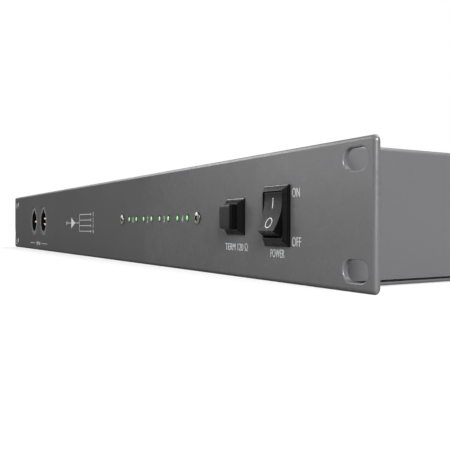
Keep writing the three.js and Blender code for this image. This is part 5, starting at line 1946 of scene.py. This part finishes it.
@dataclass
class MainsInlet:
    """The mains inlet with its three blades and the fuse drawer under them."""

    finishes: Finishes
    flange: Point = (50.0, 33.0)
    flange_thickness: float = 2.5
    flange_corner: float = 4.0
    body: Point = (28.6, 29.0)
    body_depth: float = 22.0
    cup: Point = (24.6, 16.6)
    cup_corner: float = 4.6
    cup_depth: float = 15.5
    wall: float = 1.4
    screw_span: float = 40.0
    bay: Point = (23.0, 7.4)
    bay_depth: float = 16.0
    gap: float = 0.3
    drawer_wall: float = 0.7
    drawer_face: float = 1.6
    drawer_proud: float = 0.8
    grip_depth: float = 0.9
    grip_tall: float = 2.2
    blade: Point = (2.0, 4.0)
    blade_setback: float = 2.0
    blade_tail: float = 6.0
    fuse_cap: float = 5.0
    fuse_wire: float = 0.15

    @property
    def cup_middle(self) -> float:
        """Height of the cup's middle above the flange's."""
        return self.body[1] / 2 - self.wall - self.cup[1] / 2

    @property
    def bay_middle(self) -> float:
        """Height of the drawer's middle against the flange's."""
        return -self.body[1] / 2 + self.wall + self.bay[1] / 2

    def cup_outline(self) -> Outline:
        """Draws the cup, with its two upper corners cut off.

        Returns:
            The outline with soft corners.
        """
        half, corner = self.cup[0] / 2, self.cup_corner
        low, high = self.cup_middle - self.cup[1] / 2, self.cup_middle + self.cup[1] / 2
        right = [(half, low), (half, high - corner), (half - corner, high)]
        left = [(corner - half, high), (-half, high - corner)]
        return softened([(-half, low), *right, *left], 0.9)

    def blade_places(self) -> dict[str, Point]:
        """Places the three blades.

        Returns:
            x and z of each blade by its node's name.
        """
        middle = rear_middle("inlet_housing")
        names = ("inlet_blade_neutral", "inlet_blade_earth", "inlet_blade_live")
        places = {name: NodePlace.of(name).middle - middle for name in names}
        return {name: (place.x, place.z) for name, place in places.items()}

    def housing(self) -> None:
        """Makes the housing with its cup and the bay for the drawer."""
        face, depth = self.flange_thickness, self.body_depth
        bottom = face - self.cup_depth
        outline = rounded(*self.flange, self.flange_corner, 10)
        flange = Solid.lofted(block_levels(outline, 0, face, 0.1, 0.6, 5))
        body = Solid.lofted(block_levels(rectangle(*self.body), -depth, 0.4, 0.5, 0, 3))
        cup, bay = self.cup_outline(), rectangle(*self.bay, (0, self.bay_middle))
        collar = Solid.lofted(stepped(cup, face, ((1.1, -0.4), (1.1, 0.2), (0.95, 0.4))))
        cup_levels = [(cup, bottom), *stepped(cup, face, ((0, 0.1), (0.3, 0.4), (0.3, 2)))]
        bay_levels = [(bay, face - self.bay_depth), *stepped(bay, face, ((0, -0.2), (0.2, 0), (0.2, 2)))]
        cutters = [Solid.lofted(cup_levels), Solid.lofted(bay_levels)]
        thick, wide = self.blade
        for place in self.blade_places().values():
            slot = rectangle(thick + 2 * self.gap, wide + 2 * self.gap, place)
            cutters.append(Solid.block(slot, -depth - SPARE, bottom + 0.5))
        shell = flange.joined(body, collar).cut(*cutters)
        head, span = flange_screw(), self.screw_span / 2
        screws = [head.turned(20 + 40 * side, "Y").moved(side * span, face, 0) for side in (-1, 1)]
        mesh = made_mesh("inlet_shell", ([shell], self.finishes.switch), (screws, self.finishes.nickel))
        placed("inlet_shell", mesh, rear_middle("inlet_housing"), ROOT, ["inlet_housing"])

    def blades(self) -> None:
        """Makes the three blades."""
        outline = rounded(*self.blade, 0.4, 3)
        tip = self.flange_thickness - self.blade_setback
        levels = [(outline, -self.body_depth - self.blade_tail)]
        levels += stepped(outline, tip, ((0, -1.2), (-0.25, -0.5), (-0.6, 0)))
        blade = made_mesh("inlet_blade", ([Solid.lofted(levels)], self.finishes.nickel))
        middle = rear_middle("inlet_housing")
        for node, (x, z) in self.blade_places().items():
            name = node.replace("inlet_blade", "mains_pin")
            placed(name, blade, middle + Vector((x, 0, z)), ROOT, [node])

    def drawer(self) -> None:
        """Makes the fuse drawer with its finger grip."""
        wide, tall = self.bay[0] - 2 * self.gap, self.bay[1] - 2 * self.gap
        wall, deep = self.drawer_wall, self.grip_depth
        back = self.flange_thickness + self.drawer_proud
        front = self.flange_thickness - self.bay_depth + self.gap
        block = Solid.lofted(block_levels(rounded(wide, tall, 0.4, 3), front, back, 0.1, 0.35, 4))
        pocket = rectangle(wide - 2 * wall, tall - wall + SPARE, (0, (wall + SPARE) / 2))
        grip = rounded(wide / 2, self.grip_tall, 0.5, 4, (0, self.grip_tall / 2 - tall / 2 - 0.05))
        solid = block.cut(
            Solid.block(pocket, front + wall, back - self.drawer_face - deep),
            Solid.block(grip, back - deep, back + SPARE),
        )
        mesh = made_mesh("fuse_tray", ([solid], self.finishes.switch))
        at = rear_middle("inlet_housing") + Vector((0, 0, self.bay_middle))
        placed("fuse_tray", mesh, at, "fuse_carrier", ["fuse_drawer"])

    def fuse(self) -> None:
        """Makes the glass fuse: a clear tube with its wire between two caps."""
        place = NodePlace.of("fuse_link")
        half, cap = place.size.x / 2, place.size.y / 2
        glass, reach, wire = cap - 0.1, half - self.fuse_cap, self.fuse_wire
        side = [(glass, reach), (cap, reach + 0.1), (cap, half - 0.4), (cap - 0.4, half)]
        profile = [(0, reach), *side, (0, half)]
        solids = [
            Solid.lathed([(radius, end * x) for radius, x in profile], 32, Facing.SIDE) for end in (-1, 1)
        ]
        solids.append(Solid.lathed([(0, -reach), (wire, -reach), (wire, reach), (0, reach)], 10, Facing.SIDE))
        tube = [(glass - 0.4, -reach), (glass, -reach), (glass, reach), (glass - 0.4, reach)]
        tubes = [Solid.lathed(tube, 32, Facing.SIDE)]
        mesh = made_mesh("glass_fuse", (tubes, self.finishes.glass), (solids, self.finishes.nickel))
        placed("glass_fuse", mesh, place.middle, "fuse_carrier", ["fuse_link"])

    def build(self) -> None:
        """Makes the inlet."""
        self.housing()
        self.blades()
        self.drawer()
        self.fuse()


@dataclass
class InnerWorks:
    """The boards, the transformer and the leads inside the closed case, dressed as they are."""

    finishes: Finishes
    board: float = 1.6
    ribbon_pitch: float = 1.27
    core_pitch: float = 0.5

    def dress(self, material: bpy.types.Material, *nodes: str) -> None:
        """Gives CAD nodes their finish.

        Args:
            material: The finish.
            nodes: The nodes' names.
        """
        for node in nodes:
            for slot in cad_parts[node].material_slots:
                slot.material = material
            LOG.info("%s: dressed as %s", node, material.name)

    def build(self) -> None:
        """Dresses every piece inside the case."""
        lamp_front = NodePlace.of("lamp_1").high.y
        data_front = NodePlace.of("input_board").low.y
        splitter_back = NodePlace.of("splitter_board").high.y
        supply_foot = NodePlace.of("supply_board").low.z
        boards = (
            ("lamp_board", "Y", lamp_front, lamp_front + self.board),
            ("input_board", "Y", data_front, data_front + self.board),
            ("splitter_board", "Y", splitter_back - self.board, splitter_back),
            ("supply_board", "Z", supply_foot, supply_foot + self.board),
        )
        for node, axis, low, high in boards:
            self.dress(BoardLacquer(f"{node}_lacquer", axis, low, high).material(), node)
        core = StripedPack("transformer_core", (70, 58, 46), (104, 88, 70), self.core_pitch)
        self.dress(core.material(), "transformer")
        ribbon = StripedPack("ribbon_cores", (120, 122, 126), (168, 170, 175), self.ribbon_pitch)
        self.dress(ribbon.material(), "lamp_ribbon", "input_ribbon")
        self.dress(self.finishes.sleeve, "mains_lead", "supply_lead", "low_voltage_lead")


@dataclass
class PanelPrint:
    """The white print on the panel and the output numbers on the back."""

    finishes: Finishes
    lift: float = 0.02
    thickness: float = 0.05
    line: float = 0.35
    sign: Point = (62.0, 10.4)
    sign_place: Point = (-69.2, 20.7)
    buffer: float = 3.6
    arrow: Point = (1.8, 0.8)

    def text(self, words: str, left: float, right: float, low: float, high: float) -> Solid:
        """Sets words into a box on the panel.

        Args:
            words: What it says.
            left: The box's left side, as the panel is seen.
            right: Its right side.
            low: Its foot.
            high: Its top.

        Returns:
            The words as thin solids in x and z, their faces towards -Y.
        """
        curve = bpy.data.curves.new("words", "FONT")
        curve.body = words
        curve.resolution_u = 5
        holder = linked("words", curve)
        flat = evaluated(holder)
        solid = Solid()
        solid.mesh.from_mesh(flat)
        bpy.data.objects.remove(holder)
        bpy.data.curves.remove(curve)
        bpy.data.meshes.remove(flat)
        bmesh.ops.remove_doubles(solid.mesh, verts=solid.mesh.verts, dist=1e-5)
        xs = [vert.co.x for vert in solid.mesh.verts]
        ys = [vert.co.y for vert in solid.mesh.verts]
        wide, tall = (right - left) / (max(xs) - min(xs)), (high - low) / (max(ys) - min(ys))
        for vert in solid.mesh.verts:
            x, z = left + (vert.co.x - min(xs)) * wide, low + (vert.co.y - min(ys)) * tall
            vert.co = Vector((x, -self.lift - self.thickness, z))
        extruded = bmesh.ops.extrude_face_region(solid.mesh, geom=solid.mesh.faces[:])
        moved = [part for part in extruded["geom"] if isinstance(part, bmesh.types.BMVert)]
        bmesh.ops.translate(solid.mesh, vec=Vector((0, self.thickness + self.lift, 0)), verts=moved)
        return solid.tidied()

    def number(self, value: int, x: float, low: float, high: float, halves: Point = (0.35, 0.7)) -> Solid:
        """Sets a number about x. The halves are half the width of a 1 and of any other number."""
        half = halves[0] if value == 1 else halves[1]
        return self.text(str(value), x - half, x + half, low, high)

    def stroke(self, outline: Outline) -> Solid:
        """Prints a filled outline given in x and z."""
        return Solid.block(outline, -self.lift - self.thickness, 0)

    def bar(self, left: float, right: float, z: float) -> Solid:
        """Prints a level line between two places."""
        return self.stroke(rectangle(right - left, self.line, ((left + right) / 2, z)))

    def labels(self) -> list[Solid]:
        """Prints the words and numbers beside the controls.

        Returns:
            The printed solids.
        """
        right = PANEL.high.x
        words = [
            ("ON", 40.1, 35.7, 28.1, 31.1),
            ("OFF", 40.1, 35.0, 12.3, 15.3),
            ("POWER", 53.0, 44.5, 8.3, 11.1),
            ("TERM 120 Ω", 85.0, 68.3, 9.8, 12.6),
            ("IN", 397.0, 386.5, 3.8, 6.6),
        ]
        printed = []
        for word, start, end, low, high in words:
            printed.append(self.text(word, right - start, right - end, low, high))
        for number in range(1, 5):
            (first, z), (second, _) = spot(f"lamp_{2 * number - 1}"), spot(f"lamp_{2 * number}")
            printed.append(self.number(number, (first + second) / 2, z - 1.7, z + 1.1))
        for start, end in ((419.0, 402.8), (381.7, 363.7)):
            printed.append(self.bar(right - start, right - end, 5.2))
        return printed

    def flow_sign(self) -> list[Solid]:
        """Prints a plain signal-flow sign: one line that a buffer splits into four.

        Returns:
            The printed solids.
        """
        (left, middle), (width, rise) = self.sign_place, self.sign
        base, tip, fork, end, column = (left + share * width for share in (0.2, 0.34, 0.5, 0.9, 0.96))
        long, half = self.arrow
        ring, hole = (circle(size, 24, (left + 1.1, middle)) for size in (2.2, 1.4))
        printed = [
            self.bar(left + 2.2, base, middle),
            self.stroke([(base, middle - self.buffer), (tip, middle), (base, middle + self.buffer)]),
            self.bar(tip - 0.5, fork, middle),
            self.stroke(rectangle(self.line, rise + self.line, (fork, middle))),
            self.stroke(ring).cut(Solid.block(hole, -SPARE, SPARE)),
        ]
        for index in range(4):
            z = middle + rise * (index / 3 - 0.5)
            printed.append(self.bar(fork, end - 1.2, z))
            printed.append(self.stroke([(end - long, z - half), (end, z), (end - long, z + half)]))
            printed.append(self.number(4 - index, column, z - 1.2, z + 1.2))
        return printed

    def output_numbers(self) -> list[Solid]:
        """Prints each output's number on the back, between its two sockets.

        Returns:
            The printed solids, mirrored so that they read from behind.
        """
        printed = []
        for output in range(1, 5):
            (first, z), (second, _) = (spot(f"output_{output}_socket_{count}pin") for count in (3, 5))
            number = self.number(output, 0, -2.8, 2.8, (0.9, 1.6)).turned(180, "Z")
            printed.append(number.moved((first + second) / 2, 0, z))
        return printed

    def build(self) -> None:
        """Makes the print."""
        mesh = made_mesh("panel_print", ([*self.labels(), *self.flow_sign()], self.finishes.ink))
        placed("panel_print", mesh, Vector((0, FRONT_Y, 0)))
        mesh = made_mesh("rear_print", (self.output_numbers(), self.finishes.ink))
        placed("rear_print", mesh, Vector((0, REAR_Y, 0)))


@dataclass
class Studio:
    """A pale floor, a white surround, soft lamps and the camera at the photograph's angle."""

    camera_at: Triple = (0.3740, -0.19355, 0.0190)
    camera_turn: Triple = (90.0, 0.0, 58.053)
    lens: float = 51.855
    sensor: float = 36.0
    shift: Point = (-0.0886, 0.0013)
    floor_size: float = 12.0
    floor_colour: Colour = (190, 190, 190)
    floor_lift: float = 0.5
    floor_fade: Point = (0.4, 1.2)
    surround: float = 0.3
    background: float = 1.0

    def camera(self) -> None:
        """Sets up the camera."""
        data = bpy.data.cameras.new("camera")
        data.lens = self.lens
        data.sensor_width = self.sensor
        data.shift_x, data.shift_y = self.shift
        data.clip_start = 0.01
        data.clip_end = 50
        view = linked("camera", data)
        view.location = self.camera_at
        view.rotation_euler = [math.radians(turn) for turn in self.camera_turn]
        bpy.context.scene.camera = view

    def lamp(self, name: str, at: Triple, aim: Triple, size: Point, power: float) -> None:
        """Sets up one soft rectangular lamp.

        Args:
            name: Its name.
            at: Its place in metres.
            aim: The point that it faces.
            size: Its two sides in metres.
            power: Its power in watts.
        """
        data = bpy.data.lights.new(name, "AREA")
        data.shape = "RECTANGLE"
        data.size, data.size_y = size
        data.energy = power
        lamp = linked(name, data)
        lamp.location = at
        lamp.visible_camera = False
        direction = Vector(aim) - Vector(at)
        lamp.rotation_euler = direction.to_track_quat("-Z", "Y").to_euler()

    def world(self) -> None:
        """Sets up the white surround, brighter as a background than as a light."""
        world = bpy.data.worlds.new("surround")
        nodes = Nodes(world, "Background")
        nodes.set(Color=(1, 1, 1, 1))
        nodes.feed("Strength", nodes.spread(nodes.seen(), self.surround, self.background, 0, 1))
        bpy.context.scene.world = world

    def floor(self) -> None:
        """Makes the pale floor, which keeps the object's soft shadow."""
        mesh = bpy.data.meshes.new("floor")
        corners = [(x, y, 0) for x, y in rectangle(self.floor_size, self.floor_size)]
        mesh.from_pydata(corners, [], [(0, 1, 2, 3)])
        sheet = Sheet("pale_floor")
        sheet.set(Base_Color=linear(self.floor_colour), Roughness=0.9, Specular_IOR_Level=0.0)
        distance = sheet.worked("VectorMath", "LENGTH", sheet.place)
        fade = sheet.spread(distance, self.floor_lift, self.background, *self.floor_fade)
        sheet.feed("Emission Strength", sheet.worked("Math", "MULTIPLY", fade, sheet.seen()))
        sheet.set(Emission_Color=(1, 1, 1, 1))
        mesh.materials.append(sheet.material)
        floor = linked("floor", mesh)

    def build(self) -> None:
        """Sets up the whole studio."""
        self.camera()
        self.world()
        self.floor()
        self.lamp("top_lamp", (-1.7, -0.3, 1.05), (0.1, -0.05, 0.03), (1.2, 0.8), 13)
        self.lamp("over_lamp", (0.1, 0.5, 1.1), (0, 0.02, 0.02), (1.0, 0.8), 11)
        self.lamp("side_lamp", (0.95, -0.36, 0.42), (0.22, -0.04, 0.02), (0.3, 0.4), 10)
        self.lamp("front_lamp", (-2.3, -1.6, 0.70), (0.15, -0.07, 0.03), (1.8, 1.0), 24)
        self.lamp("back_lamp", (-0.3, 1.5, 0.8), (0, 0.05, 0.02), (1.2, 0.8), 5)
        scene = bpy.context.scene
        scene.view_settings.view_transform = "Standard"


def main() -> None:
    """Builds the studio and every sub-assembly."""
    logging.basicConfig(level=logging.INFO, format="%(name)s: %(message)s")
    Studio().build()
    finishes = Finishes()
    assemblies = [
        FrontPanel(finishes),
        FoldedCase(finishes),
        MainsRocker(finishes),
        PushButton(finishes),
        LampRow(finishes),
        *[DataInput(finishes, contacts) for contacts in Contacts],
        *[DataOutput(finishes, contacts) for contacts in Contacts],
        MainsInlet(finishes),
        InnerWorks(finishes),
        PanelPrint(finishes),
    ]
    for assembly in assemblies:
        assembly.build()
        LOG.info("%s is in place", type(assembly).__name__)


if __name__ == "__main__":
    main()
